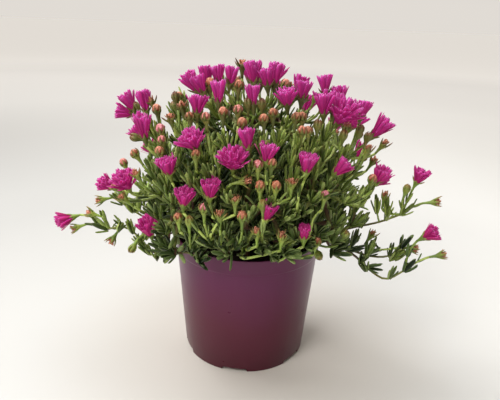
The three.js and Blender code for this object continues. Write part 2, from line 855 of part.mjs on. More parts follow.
// A rooted stem with its branches, stalks and cups, still without leaves.
function bareStem(sector, tips) {
  const { root, fork } = rootOf(sector);
  const bottom = root.clone().addScaledVector(UP, STEM.foot - HOLE.depth);
  const stations = [bottom, root, fork].map((at) => ({ at, along: UP, radius: STEM.root }));
  const base = tower(stations, STEM.rootSides, new THREE.Vector3(1, 0, 0));
  const runners = RUNNERS.filter((runner) => sectorOf(atDepth(...runner.fork, runner.depth)) === sector);
  const branches = [...branchesOf(tips, fork), ...runners.map((runner) => runnerBranch(runner, fork))];
  for (const branch of branches) {
    branch.cupped = branch.tips.filter((tip) => tip.kind !== "shoot");
    branch.lead = leadOf(branch.curve, branch.cupped);
    branch.bare = branchSolid(branch, []);
    const others = branch.cupped.filter((tip) => tip !== branch.lead);
    branch.stalks = others.map((tip) => sideStalk(branch.curve, tip));
  }
  return { sector, root, base, branches };
}

// True where a piece meets any of the others.
function meets(piece, others) {
  const box = piece.boundingBox();
  return others.some((other) => {
    const reach = other.boundingBox();
    const apart = [0, 1, 2].some((k) => box.max[k] < reach.min[k] || box.min[k] > reach.max[k]);
    return !apart && piece.intersect(other).volume() > 0;
  });
}

// A flower as far open and as long as the stems round it let it be.
function fittedBloom(tip, own, others) {
  for (const [openness, size] of FLOWER.fits) {
    const open = Math.max(tip.open * openness, FLOWER.leastOpen);
    const fitted = { ...tip, open, length: tip.length * size };
    for (const turn of [0, 0.25, 0.5, 0.75]) {
      const twist = draw(own) + turn;
      if (!meets(bloom(fitted, twist, CLEARANCE), others)) return bloom(fitted, twist, 0);
    }
  }
  throw new Error(`no room for the flower at ${tip.foot.toArray().map(Math.round)}`);
}

// Flowers that touch are one node.
function bloomSolids(stems, others) {
  const solids = [];
  for (const tip of stems.flatMap((stem) => stem.branches.flatMap((branch) => branch.cupped))) {
    if (tip.kind !== "flower") continue;
    const solid = fittedBloom(tip, newSeed(), others);
    const touching = solids.filter((other) => meets(solid, [other]));
    for (const other of touching) solids.splice(solids.indexOf(other), 1);
    solids.push(fuse([solid, ...touching]));
  }
  return solids;
}

// The first size, lean and twist at which a band of leaves is clear of everything, or nothing.
function fitBand(curve, part, own, others) {
  for (const size of BANDS.sizes) {
    for (const lean of BANDS.leans) {
      for (const shift of BANDS.twists) {
        const tried = { part, shift, blades: leafBlades(own, size, lean, CLEARANCE) };
        const solid = tower(bandStations(curve, tried), STEM.sides, sideOf(curve));
        if (!meets(solid, others)) return { ...tried, solid, blades: leafBlades(own, size, lean, 0) };
      }
    }
  }
  return null;
}

// Leaves stand in bands along a branch and at its end, where its own stalks may pass through them.
function leafyBranch(branch, others, leaves) {
  const length = branch.curve.getLength();
  const end = 1 - LEAVES.rise / length;
  const count = Math.max(0, Math.round((length * (1 - BANDS.first)) / BANDS.spacing) - 1);
  const strangers = others.filter((piece) => piece !== branch.bare);
  const bands = [];
  if (length < BRANCH.leafless) return branch.bare;
  for (let i = 0; i <= count; i += 1) {
    const part = i === count ? end : BANDS.first + ((end - BANDS.first) * i) / count;
    const near = i === count ? strangers.filter((piece) => !branch.stalks.includes(piece)) : strangers;
    const band = fitBand(branch.curve, part, newSeed(), [...near, ...leaves]);
    if (!band) continue;
    bands.push(band);
    leaves.push(band.solid);
  }
  return branchSolid(branch, bands);
}

const stems = Object.entries(tipsBySector()).map(([sector, tips]) => bareStem(sector, tips));
const potSolid = pot();
const soilSolid = soil(stems.map((stem) => stem.root));
const woody = stems.flatMap(({ base, branches }) => [
  base,
  ...branches.flatMap((branch) => [branch.bare, ...branch.stalks]),
]);
const blooms = bloomSolids(stems, woody);
const leaves = [];

addMesh("pot", potSolid, PLUM);
addMesh("soil", soilSolid, PEAT);
for (const { sector, base, branches } of stems) {
  const grown = branches.flatMap((branch) => [
    leafyBranch(branch, [potSolid, soilSolid, ...blooms, ...woody], leaves),
    ...branch.stalks,
  ]);
  addMesh(`stem_${sector}`, fuse([base, ...grown]), LEAF);
}
blooms.forEach((solid, i) => addMesh(`bloom_${String(i + 1).padStart(2, "0")}`, solid, PETAL));

export default group;
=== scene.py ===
import random
from math import atan2, cos, degrees, hypot, pi, radians, sin, sqrt
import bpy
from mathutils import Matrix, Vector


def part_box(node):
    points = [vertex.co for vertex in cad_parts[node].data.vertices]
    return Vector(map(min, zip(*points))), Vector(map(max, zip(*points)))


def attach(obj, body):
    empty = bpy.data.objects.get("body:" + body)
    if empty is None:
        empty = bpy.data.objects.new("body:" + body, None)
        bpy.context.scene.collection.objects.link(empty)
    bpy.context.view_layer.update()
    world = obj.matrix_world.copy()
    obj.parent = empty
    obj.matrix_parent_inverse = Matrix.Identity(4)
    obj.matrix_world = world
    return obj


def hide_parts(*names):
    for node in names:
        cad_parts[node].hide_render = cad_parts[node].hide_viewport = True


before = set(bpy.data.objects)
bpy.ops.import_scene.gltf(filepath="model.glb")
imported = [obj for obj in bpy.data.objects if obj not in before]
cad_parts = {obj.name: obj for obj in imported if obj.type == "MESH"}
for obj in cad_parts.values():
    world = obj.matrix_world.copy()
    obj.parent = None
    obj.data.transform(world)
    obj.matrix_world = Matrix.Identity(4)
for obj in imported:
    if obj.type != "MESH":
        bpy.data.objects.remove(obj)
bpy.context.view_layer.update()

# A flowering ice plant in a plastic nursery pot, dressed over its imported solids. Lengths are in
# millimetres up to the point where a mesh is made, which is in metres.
from types import SimpleNamespace as Sizes

import bmesh
import bpy
import numpy as np
from mathutils import Matrix, Vector, noise

MM = 0.001
GOLDEN = 0.618034
TURN = 2 * pi
UP = Vector((0, 0, 1))

# The pot and the growing medium
POT = Sizes(
    height=103, rim=60, foot=51.2, wall=1.1, foot_wall=2.2, collar=12.5, step=0.6, base_rise=3.2,
    base=1.4,
)
NOTCHES = Sizes(count=6, first=82, width=20, height=2.4, ease=1.4)
DRAINS = Sizes(count=6, first=30, ring=33, radius=4.5, sides=24, deep=12, z=4)
SOIL = Sizes(
    edge=93, crown=96, gap=0.35, sides=96, rings=26, grain=0.22, rough=1.3, sunk=0.9,
    bounds=(-2.6, 0.4), middle=0.4,
)
CRUMBS = Sizes(
    count=260, size=(0.6, 1.7), inside=3, sunk=0.5, sides=5, uneven=(0.75, 1.2),
    rings=((-0.8, 0.5), (-0.1, 1.0), (0.7, 0.55)),
)

# The view in which the flowers' places were measured, a picture of 500 x 400 points
VIEW = Sizes(eye=(0, -384, 266.5), pitch=0.344, yaw=0.002, roll=0.037, focal=500)
CENTRE = (250, 200)
SENSOR = 36

# The mound and the stems' layout
MOUND = Sizes(z=150, across=110, deep=86, up=88, down=82)
HEART = Vector((0, 0, 60))
TOP_SECTOR = 67.5
SECTORS = ("right", "back_right", "back", "back_left", "left", "front_left", "front", "front_right")
ROOT_RING = 30
ROOT_DEEP = 13
PAST_FORK = 1.5
FORK = Sizes(side=12, top=26, outward=1.1)
TRUSS = Sizes(reach=34, most=4, stalk=20, lift=20)
BRANCH = Sizes(rise=6, sprawl=0.5, below=140, full=60, forked=40)
OVER_RIM = Sizes(out=2, up=9)
CUP = 10
BOW_STEPS = 40
JOINT_STEPS = 12
RUNNER_POINTS = 27

# How a flower's row is read: from where and over what span low and wide flowers turn to the viewer,
# how much, the part of its petals past their middle, and the bounds of its form
BLOOM = Sizes(
    low=(220, -70), wide=(18, 14), towards=(0.15, 0.3, 0.5), tip=2.5, length=(9.5, 18),
    opening=(0.26, 1.15), broad=26, broad_opening=0.88, broad_share=0.84, narrow=12, narrow_share=0.74,
    runner_share=0.9,
)
BUD_TOWARDS = 0.2
SHOOT = Sizes(upright=0.4, sunk=6, deeper=5)

# What hangs on a branch: the cost of a bend and of a short stalk, the most that each kind may cost,
# and the room that a shoot needs
HANG = Sizes(bend=45, near=9, short=30, shoot=70, bud=60, back_bud=75, room=2.5)

# The leafy body of the mound, and the least distance between its twigs low, high and at the top
FILL = Sizes(
    tries=16000, z=140, across=86, front=61, back=80, up=64, down=46, hollow=0.35,
    top=172, low_gap=11.5, high_gap=14, top_gap=20, room=5, over_rim=3,
)

# Its twigs: the shares of their length that they swing aside and sag, what it costs to grow down or
# from close by, and how their leaves stand
TWIG = Sizes(
    aside=0.06, sag=0.08, down=12, close=(6, 14), reach=(5, 48), room=1.6, radius=(0.95, 0.65), gap=6.5,
    leafy=24, least=10, lean=0.6, size=11.5, shaded=0.2, shaded_tuft=(15, 1), tuft=(12.5, 0.7),
    leaves=6, upright=0.5, last_pair=0.8, sun=0.8,
)

# The back of the mound: its flowers, shoots and buds, and more buds between them
BACK = Sizes(
    tips=31, deep=93, base=126, up=102, rise=(8, 78), turn=(12, 168), outward=0.6,
    upright=0.5, length=(11, 14), opening=(0.4, 0.8), sunk=10,
)
BACK_BUDS = Sizes(
    count=34, inside=0.97, rise=(14, 80), turn=(-14, 194), first=0.3, outward=0.5, upright=0.6,
)
BACK_KINDS = ("flower", "shoot", "bud", "flower", "shoot")

# Open flowers: foot x, foot y, mouth x, mouth y and spread, as points of the picture
FLOWERS = (
    (149, 231, 147, 220, 25), (109, 185, 101, 181, 20), (126, 184, 122, 173, 28),
    (131, 106, 125, 93, 16), (145, 106, 142, 90, 16), (127, 113, 118, 111, 15),
    (144, 133, 142, 115, 22), (194, 86, 186, 73, 20), (201, 88, 196, 78, 15), (207, 79, 206, 69, 14),
    (218, 78, 217, 68, 12), (231, 79, 233, 68, 13), (254, 78, 254, 61, 14), (267, 81, 266, 71, 14),
    (275, 79, 276, 62, 17), (219, 98, 219, 80, 16), (253, 100, 252, 84, 16), (287, 100, 286, 89, 24),
    (302, 94, 303, 85, 13), (325, 88, 325, 75, 16), (198, 108, 199, 98, 18), (193, 143, 187, 131, 28),
    (247, 143, 245, 128, 18), (233, 163, 234, 148, 32), (267, 156, 268, 146, 20),
    (307, 167, 309, 155, 20), (168, 169, 166, 160, 22), (324, 109, 324, 93, 24), (340, 98, 339, 86, 18),
    (341, 118, 348, 102, 45), (362, 112, 364, 103, 18), (376, 133, 389, 120, 20),
    (339, 170, 345, 163, 16), (379, 178, 384, 169, 22), (210, 192, 211, 181, 22),
    (184, 200, 185, 193, 20), (267, 215, 271, 204, 14), (304, 234, 304, 225, 10),
)

# Buds on the mound that shape the branches: foot x, foot y, then how far across and down they face
# where that isn't straight up
BUDS = (
    (242, 64), (175, 96, -0.2), (206, 118, -0.1), (273, 114), (242, 124), (296, 118, 0.1),
    (170, 118, -0.3), (196, 155), (162, 141, -0.2), (134, 137, -1, -0.3), (135, 154, -0.7),
    (136, 174, -0.6), (116, 187, -0.7, -0.8), (132, 249, -0.5, 0.9), (178, 218, -0.1), (235, 200),
    (246, 181, 1, -0.2), (257, 232), (282, 237, 0.1), (325, 196, 0.2), (317, 242, 0.3),
    (319, 256, 0.6, 0.8), (345, 234, 0.6, -0.9), (372, 180, 0.3), (368, 149, 0.4),
    (384, 144, 0.7, -0.8),
)

# More buds, each on a stalk from the nearest branch
MORE_BUDS = (
    (136, 105, -0.5), (151, 101, -0.4), (189, 220), (242, 217), (223, 113), (344, 134, 0.2),
    (123, 198, -0.8, -0.7), (260, 187), (263, 204), (182, 106, -0.2), (239, 86, 0.1), (318, 124, 0.1),
    (204, 209), (334, 111, 0.1), (292, 183, 0.1), (360, 129, 0.3), (276, 187, 0.1), (210, 84),
    (238, 111), (248, 102), (264, 120), (302, 118), (308, 132), (262, 103), (190, 117, -0.1),
    (157, 110, -0.2), (161, 130, -0.3), (160, 152, -0.3), (258, 166), (272, 164, 0.1), (220, 215),
    (346, 126, 0.3), (368, 136, 0.3), (302, 132),
)

# Stalks that stand out in front of the leaves: the foot of what they bear, and points downwards
LONG_STALKS = {
    (184, 200): ((190, 207), (199, 222), (209, 240)),
    (204, 209): ((206, 216), (209, 238)),
    (235, 200): ((229, 209), (219, 222), (210, 237)),
    (282, 237): ((272, 229), (256, 241), (242, 258)),
    (267, 215): ((268, 222), (262, 236)),
    (304, 234): ((303, 242), (293, 252), (278, 261)),
    (325, 196): ((321, 204), (314, 218), (308, 236)),
    (345, 234): ((341, 222), (329, 215), (316, 222), (309, 236)),
    (319, 256): ((312, 250), (303, 244)),
    (307, 167): ((304, 178), (299, 194), (296, 212)),
    (267, 156): ((266, 168), (267, 184)),
    (193, 143): ((198, 152), (205, 166)),
    (233, 163): ((233, 174), (231, 190)),
    (132, 249): ((138, 243), (149, 238), (160, 244)),
    (178, 218): ((182, 228), (192, 240)),
    (317, 242): ((312, 246), (304, 252), (296, 258)),
    (257, 232): ((253, 240), (247, 250)),
    (372, 180): ((366, 190), (356, 204)),
    (379, 178): ((372, 190), (360, 206)),
    (339, 170): ((334, 182), (326, 198)),
    (210, 192): ((212, 202), (213, 218)),
    (246, 181): ((237, 184), (231, 192)),
    (276, 187): ((277, 196), (272, 210)),
    (292, 183): ((286, 192), (276, 204)),
}

# The large bud at the very top, the lines beyond which buds have mostly faded, and the buds whose
# petals show as a round head in the picture
TOP_BUD = (242, 64)
EDGE = Sizes(left=134, right=362, low=232)
ROUND_BUDS = (
    (206, 118), (223, 113), (238, 111), (239, 86), (162, 141), (276, 187), (325, 196), (204, 209),
    (273, 114), (296, 118), (242, 124), (302, 118), (308, 132), (264, 120), (135, 154), (317, 242),
    (210, 84), (302, 132), (372, 180), (260, 187),
)

# Leafy shoots without a flower: the point where the tuft of leaves starts
SHOOTS = (
    (170, 250), (226, 250), (262, 244), (288, 250), (303, 208), (338, 248), (160, 226), (288, 214),
    (350, 196),
)
MORE_SHOOTS = (
    (208, 236), (240, 252), (150, 206), (150, 170), (325, 226), (362, 214), (300, 136), (222, 222),
    (186, 242), (330, 146), (345, 150), (320, 160), (280, 130), (225, 135), (180, 128), (152, 124),
    (172, 150), (208, 165), (290, 196), (270, 196), (250, 206), (228, 190), (200, 180), (168, 192),
    (188, 172), (330, 180), (318, 190), (345, 212), (312, 236), (276, 244), (212, 248), (196, 252),
    (182, 256), (168, 262), (158, 240), (330, 125), (315, 140), (295, 150), (262, 136), (210, 140),
    (298, 168), (352, 166), (366, 190), (250, 158), (218, 152), (340, 232), (236, 238), (300, 228),
    (160, 178),
)

# Long shoots that sprawl over the rim: how far they come forward, the points that they pass, the
# fork that ends them, what stands on it, and the fans of leaves on the way
RUNNERS = (
    Sizes(
        depth=-17, route=((166, 254), (150, 250), (138, 236), (124, 227)), fork=(107, 229),
        flowers=((68, 219, 58, 223, 20),),
        buds=((90, 213, -0.9, -0.3), (75, 228, -0.9, 0.3), (112, 240, -0.5, 0.8)),
        fans=(
            (176, 262), (167, 267), (157, 263), (147, 256), (139, 246), (151, 237), (163, 245),
            (131, 232), (120, 233), (172, 252),
        ),
    ),
    Sizes(
        depth=-8, route=((172, 234), (156, 224), (139, 214)), fork=(122, 203),
        flowers=(), buds=((100, 200, -1, 0.2),),
        fans=((160, 222), (150, 216), (140, 206), (130, 212), (126, 198)),
    ),
    Sizes(
        depth=-20, route=((330, 232), (355, 227), (379, 222)), fork=(402, 214),
        flowers=((419, 178, 422, 170, 21),),
        buds=((407, 188, 0.3), (436, 202, 1, -0.1), (385, 196, 0.2)),
        fans=((386, 210), (375, 203), (350, 218), (362, 226), (340, 226), (333, 218)),
    ),
    Sizes(
        depth=-40, route=((322, 240), (339, 246), (355, 256), (371, 271), (386, 279)),
        fork=(405, 270),
        flowers=((428, 235, 436, 229, 20),), buds=((442, 255, 1, -0.2),),
        fans=((358, 240), (373, 251), (361, 264), (334, 238), (335, 253), (364, 272), (346, 244)),
    ),
    Sizes(
        depth=-26, route=((330, 246), (350, 250), (370, 256), (388, 256)), fork=(402, 247),
        flowers=(), buds=((414, 249, 1, 0.1), (372, 234, 0.5, -0.8)),
        fans=((393, 262), (399, 264)),
    ),
)

# Rings and profiles of blades: shares of the length and of the half width
LEAF = (
    ((0, 0.55), (0.12, 0.84), (0.36, 1), (0.62, 1), (0.84, 0.78), (0.95, 0.46)),
    ((-1, 0.3), (-0.5, -0.62), (0, -1), (0.5, -0.62), (1, 0.3), (0, 0.55)),
)
PETAL = (
    ((0, 0.4), (0.25, 0.62), (0.5, 0.88), (0.74, 1), (0.91, 0.8), (1, 0.42)),
    ((-1, 0.5), (0, -0.6), (1, 0.5), (0, 0.4)),
)
LOBE = (
    ((0, 0.95), (0.25, 1), (0.55, 0.74), (0.82, 0.4)),
    ((-1, 0.2), (0, -0.9), (1, 0.2), (0, 0.6)),
)
BLUNT_PETAL = (1, 3)
BLUNTED = 0.07
FULL_DEPTH = 1.3

# How leaves vary. Pairs for low, high and side are a start and a span.
# side_light is painted light added to the leaves at the plant's sides
LEAF_SIZE = Sizes(
    width=(2, 3.1), depth=(0.72, 0.95), bend=(-0.05, 0.55), full=12, bounds=(0.6, 1.1),
    low=(150, -40), high=(160, 50), low_long=0.12, low_wide=0.15, high_slim=0.28, side=(52, 30),
    side_light=0.42, side_floor=116, room=1.6,
)
PAIR = Sizes(turn=0.25, lean=(0.8, 1.2), lift=0.5, size=(0.85, 1.15), off=0.5)
TUFT = Sizes(turn=0.6, lift=0.25, size=(0.85, 1.1), inner=1.05, outer=0.8, off=0.6, deep=2.5)
SHOOT_TUFT = Sizes(turned=0.6, leaves=9, size=13.0, spread=0.85)
END_TUFT = Sizes(turned=0.4, leaves=6, size=11.0, spread=1.0)
LEAFY = Sizes(share=0.86, gap=8, first=0.14, along=0.84, lean=0.62, size=(9.5, 13.5))

# Fans of leaves along a runner, and the small tufts between them
# light and far_light are painted light added to the fans' leaves, more far out to the side
FANS = Sizes(
    slim=0.74, foot=0.55, radii=(0.8, 0.75, 0.7, 0.6), size=(10.5, 14.5), spread=0.5, light=0.25,
    far=(88, 45), far_light=0.45, room=1.2, twig=3, tested=(0.1, 0.3, 0.55), near=2, outward=0.6,
    upright=0.9, leaves=(7, 9),
)
SMALL_TUFTS = Sizes(
    gap=20, share=0.7, first=0.3, along=0.68, leaves=5, size=(9, 12.5), spread=0.6,
    aside=(0.5, 1.0), ahead=0.35, onwards=0.5, off=0.6,
)

# Painted light that stands in for shade in the mound: from what height, over what span, how near the
# mound's skin
PAINTED_LIGHT = Sizes(height=(105, 110), skin=(0.45, 0.4), power=1.15, least=0.06, inside=0.2)

# The brush of petals: their number, how they lean, stand, bend and twist, and how deep they start
BRUSH = Sizes(
    count=(46, 76), filling=(0.3, 0.6), limp=(0.55, 0.3), droop=0.45, turn=0.12, upright=0.12,
    fanning=0.62, sway=0.1, foot=(0.3, 1.5), inner=0.78, reach=(0.86, 1.06), bend=(-0.32, 0.06),
    width=(2.7, 3.9), thick=0.42, twist=0.5, same_hue=0.4, deep=4.6,
)

# The closed head of a bud, and the withered petals round it
HEAD = Sizes(globe=(0.74, 0.98), small=(0.6, 0.72), twist=0.28, folds=0.11, uneven=0.07, end=4.15)
WITHERED = Sizes(
    count=11, lean=(0.1, 0.8), length=(2.6, 4.6), width=1.6, thick=0.7, bend=(-0.6, 1.2), tone=0.35,
)

# A cup's ribs, how much they swell, and how far along the shading its top is
CUP_FORM = Sizes(ribs=5, swell=0.09, shade=0.55)

# The lobes of a cup, and where they stand on an open and on a shut one: height, then radius
LOBE_SIZE = Sizes(count=5, turn=0.1, width=(1.7, 2.5), closed=1.4, thick=1.5, top_lean=0.25)
ON_OPEN_CUP = (6, 1.8)
ON_SHUT_CUP = (8.2, 2.1)

# Stalks: radii and leaves of a long one and of a short one. A long one starts from inside the mound.
LONG_STALK = Sizes(
    points=18, radius=(1.45, 0.9), end=0.95, taper=12, lean=0.45, size=(8, 11), leafy=(0.45, 0.75),
    off_pot=2.5, under_cup=4, rise=4, over_rim=14, inwards=13, apart=6, room=1.0,
)
SHORT_STALK = Sizes(
    radii=(1, 0.92, 0.86, 0.82, 0.8, 0.82, 0.88, 0.95), straight=0.45, eased=0.35, leafy=9, lean=0.5,
    size=(7, 10),
)
INTO_CUP = 0.4

# Radii of stems and branches, foot and end
ROOT_RADII = (2.3, 2.3, 2.3, 2.3, 2.3, 2.25, 2.1, 1.7)
BRANCH_RADII = {"bough": (1.7, 1.1), "slim": (1.1, 0.75), "runner": (1.1, 0.75)}

# Rings of cups and of a bud's head: height, then radius
OPEN_CUP = (
    (0, 0.85), (1.2, 0.95), (2.6, 1.25), (3.9, 1.7),
    (5.1, 2.2), (6.1, 2.5), (6.8, 2.45), (7.1, 2.1),
)
SHUT_CUP = (
    (0, 0.8), (2.2, 0.9), (4, 1.1), (5.6, 1.6),
    (7, 2.3), (8.3, 2.8), (9.2, 2.8), (9.7, 2.3),
)
BUD_HEAD = (
    (-2.6, 1.6), (-1.7, 2.5), (-0.4, 3.1), (0.9, 3.2),
    (2.1, 2.9), (3.1, 2.2), (3.8, 1.3), (4.1, 0.5),
)
HEAD_SIDES = 15
TOP_BUD_SIZE = 1.3

# The share of the buds at the plant's edge that are closed. Of the others, the share with a round
# head, and the share that is reached with the spent ones: in the picture, and on the back.
BUD_SHARES = Sizes(edge=0.2, shown=(0.25, 0.72), back=(0.4, 0.8))

# The looks of a cup: how wide it is, and how far its lobes lean, how long they are and how they bend
CUP_LOOKS = {
    "open": (1, (0.4, 0.9), (4, 6.2), 0.15),
    "spent": (0.86, (0.4, 0.9), (4, 6.2), 0.15),
    "faded": (0.86, (0.3, 0.6), (5, 7.6), 0.2),
    "globe": (0.82, (0.6, 0.8), (4.4, 6.4), 1.5),
    "closed": (1, (0.4, 0.6), (5.2, 6.4), 1.7),
}

# The skins of a stem's piece, in the order of its materials
SKINS = ("bark", "stalk", "lobe", "bud", "cup")
BARK, STALK, LOBES, BUD, CUPS = range(len(SKINS))


def draw(seed):
    """A number from 0 to 1 that depends only on its seed."""
    wave = sin(seed * 12.9898 + 4.1) * 43758.5453
    return wave % 1


def between(low, high, share):
    return low + (high - low) * share


def clamp(value, low=0.0, high=1.0):
    return max(low, min(high, value))


def risen(value, start, span):
    """How far a value is past a start, from 0 to 1 over a span, which is below 0 where it falls."""
    return clamp((value - start) / span)


# Directions

def square_to(axis, hint):
    side = hint - axis * hint.dot(axis)
    if side.length < 1e-3:
        side = Vector((axis.y, axis.z, axis.x)).cross(axis)
    return side.normalized()


def spokes(axis, hint):
    """A function that gives the direction square to an axis at an angle round it."""
    side = square_to(axis, hint)
    other = axis.cross(side)
    return lambda angle: side * cos(angle) + other * sin(angle)


def leaning(axis, out, lean, lift=0.0):
    return (out * sin(lean) + axis * cos(lean) + UP * lift).normalized()


# Places in the view

pitch, yaw, roll = VIEW.pitch, VIEW.yaw, VIEW.roll
forward = Vector((sin(yaw) * cos(pitch), cos(yaw) * cos(pitch), -sin(pitch)))
level_right = Vector((cos(yaw), -sin(yaw), 0))
level_up = level_right.cross(forward)
view_right = level_right * cos(roll) + level_up * sin(roll)
view_up = level_up * cos(roll) - level_right * sin(roll)
eye = Vector(VIEW.eye)


def sight(x, y):
    line = forward + view_right * ((x - CENTRE[0]) / VIEW.focal)
    return line + view_up * ((CENTRE[1] - y) / VIEW.focal)


def at_depth(x, y, depth):
    """The point of the view that lies on the plane y = depth."""
    line = sight(x, y)
    return eye + line * ((depth - eye.y) / line.y)


def on_mound(x, y):
    """The point of the view on the mound's near side, or nearest to the mound where it is missed."""
    line = sight(x, y)
    high = at_depth(x, y, 0).z > MOUND.z
    tall = MOUND.up if high else MOUND.down
    scale = Vector((1 / MOUND.across, 1 / MOUND.deep, 1 / tall))
    start = (eye - Vector((0, 0, MOUND.z))) * scale
    step = line * scale
    middle = -start.dot(step) / step.length_squared
    gap = start.length_squared - middle * middle * step.length_squared
    back = sqrt((1 - gap) / step.length_squared) if gap < 1 else 0
    return eye + line * (middle - back)


def placed(x, y, depth):
    return on_mound(x, y) if depth is None else at_depth(x, y, depth)


def facing(across, down, towards):
    """A direction that runs across and down the picture, and turns towards the viewer by an angle."""
    flat = (view_right * across - view_up * down).normalized()
    return (flat * cos(towards) - forward * sin(towards)).normalized()


# Tips

class Tip:
    """What stands at the end of a stalk: a flower, a bud or, for a shoot, a tuft of leaves."""

    def __init__(self, kind, foot, axis, length=0.0, opened=0.0, at=None):
        self.kind, self.foot, self.axis = kind, foot, axis
        self.length, self.opened, self.at = length, opened, at

    def stalk_end(self):
        """Where its stalk ends, which is at the foot of its cup."""
        return self.foot.copy() if self.kind == "shoot" else self.foot - self.axis * CUP


def flower_tip(row, depth=None):
    """A flower as long and as far open as its row shows. Low and wide ones turn to the viewer."""
    x, y, mouth_x, mouth_y, spread = row
    foot = placed(x, y, depth)
    scale = VIEW.focal / (foot - eye).dot(forward)
    shown = hypot(mouth_x - x, mouth_y - y) / scale
    least, by_low, by_wide = BLOOM.towards
    towards = least + by_low * risen(foot.z, *BLOOM.low) + by_wide * risen(spread, *BLOOM.wide)
    rise = shown / cos(towards)
    reach = max(spread / 2 / scale - BLOOM.tip, BLOOM.tip)
    length = clamp(hypot(rise, reach), *BLOOM.length)
    opened = clamp(atan2(reach, rise), *BLOOM.opening)
    if spread > BLOOM.broad:
        opened = max(opened, BLOOM.broad_opening)
        length = clamp(spread / 2 / scale / sin(opened) * BLOOM.broad_share, *BLOOM.length)
    elif spread < BLOOM.narrow:
        length *= BLOOM.narrow_share
    if depth is not None:
        length *= BLOOM.runner_share
    return Tip("flower", foot, facing(mouth_x - x, mouth_y - y, towards), length, opened, (x, y))


def bud_tip(x, y, across=0, down=-1, depth=None):
    return Tip("bud", placed(x, y, depth), facing(across, down, BUD_TOWARDS), at=(x, y))


def shoot_tip(row):
    foot = on_mound(*row)
    axis = (foot - HEART).normalized().lerp(UP, SHOOT.upright).normalized()
    return Tip("shoot", foot - axis * SHOOT.sunk, axis)


def back_place(turn, rise, share=1.0):
    """A point of the back of the mound, or of a smaller mound inside it."""
    return Vector((
        MOUND.across * share * cos(rise) * cos(turn),
        BACK.deep * share * cos(rise) * sin(turn),
        BACK.base + BACK.up * share * sin(rise),
    ))


def back_tips():
    """The even spiral over the back of the mound, from its lower edge to its crest."""
    tips = []
    for i in range(BACK.tips):
        turn = radians(between(*BACK.turn, (i * GOLDEN) % 1))
        height = (i + 0.5) / BACK.tips
        foot = back_place(turn, radians(between(*BACK.rise, height)))
        outward = BACK.outward
        axis = Vector((cos(turn) * outward, sin(turn) * outward, BACK.upright + height)).normalized()
        kind = BACK_KINDS[i % len(BACK_KINDS)]
        if kind == "shoot":
            foot -= axis * BACK.sunk
        length = between(*BACK.length, draw(i + 50))
        tips.append(Tip(kind, foot, axis, length, between(*BACK.opening, draw(i))))
    return tips


def back_buds():
    """Small buds between those tips, a little inside the mound."""
    chance = random.Random(23)
    tips = []
    for i in range(BACK_BUDS.count):
        turn = radians(between(*BACK_BUDS.turn, (i * GOLDEN + BACK_BUDS.first) % 1))
        rise = radians(between(*BACK_BUDS.rise, (i + 0.5) / BACK_BUDS.count))
        outward, upright = BACK_BUDS.outward, BACK_BUDS.upright
        height = upright + chance.random() * upright
        axis = Vector((cos(turn) * outward, sin(turn) * outward, height)).normalized()
        tips.append(Tip("bud", back_place(turn, rise, BACK_BUDS.inside), axis))
    return tips


# Stems

class Branch:
    """A line with tips at its end. Its kind is bough, slim or runner, and a runner has fans."""

    def __init__(self, tips, line, kind="bough", fans=()):
        self.tips, self.line, self.kind, self.fans = tips, line, kind, fans


class Plant:
    """What grows from one root: branches from its fork, and loose tips on stalks from them."""

    def __init__(self, sector, tips):
        self.root, self.fork = root_of(sector)
        self.branches = branches_of(tips, self.fork)
        self.loose = []


def sector_of(point):
    flat = hypot(point.x, point.y)
    if atan2(point.z - HEART.z, flat) > radians(TOP_SECTOR):
        return "top"
    return SECTORS[round(atan2(point.y, point.x) / radians(45)) % len(SECTORS)]


def soil_height(radius):
    inner = POT.rim - POT.wall
    return SOIL.crown - (SOIL.crown - SOIL.edge) * (radius / inner) ** 2


def root_of(sector):
    """Where a sector's stem leaves the soil, and where it forks."""
    top = sector == "top"
    turn = 0 if top else radians(45) * SECTORS.index(sector)
    radius = 0 if top else ROOT_RING
    root = Vector((radius * cos(turn), radius * sin(turn), soil_height(radius)))
    rise = FORK.top if top else FORK.side
    return root, Vector((root.x * FORK.outward, root.y * FORK.outward, root.z + rise))


def trusses_of(tips):
    """Gathers tips into trusses of a few that stand close together. A shoot stands alone."""
    trusses = []
    for tip in tips:
        for truss in trusses:
            alone = "shoot" in (tip.kind, truss[0].kind) or len(truss) >= TRUSS.most
            if not alone and (truss[0].stalk_end() - tip.stalk_end()).length < TRUSS.reach:
                truss.append(tip)
                break
        else:
            trusses.append([tip])
    return trusses


def truss_end(truss, fork):
    """Where a branch ends and its truss's stalks part."""
    if truss[0].kind == "shoot":
        return truss[0].foot.copy()
    middle = sum((tip.stalk_end() for tip in truss), Vector()) / len(truss)
    inward = fork + UP * TRUSS.lift - middle
    return middle + inward.normalized() * min(TRUSS.stalk, inward.length / 2)


def length_of(line):
    return sum((b - a).length for a, b in zip(line, line[1:]))


def evenly(raw, count):
    """Points at even steps along a line of close points."""
    lengths = [0.0]
    for a, b in zip(raw, raw[1:]):
        lengths.append(lengths[-1] + (b - a).length)
    points = []
    k = 0
    for i in range(count):
        want = lengths[-1] * i / (count - 1)
        while k < len(raw) - 2 and lengths[k + 1] < want:
            k += 1
        step = lengths[k + 1] - lengths[k]
        points.append(raw[k].lerp(raw[k + 1], (want - lengths[k]) / step if step else 0))
    return points


def bow(start, control, end, count=15):
    """A bowed line from start to end, pulled towards a control point."""
    steps = [i / BOW_STEPS for i in range(BOW_STEPS + 1)]
    raw = [start * (1 - t) ** 2 + control * (2 * t * (1 - t)) + end * t * t for t in steps]
    return evenly(raw, count)


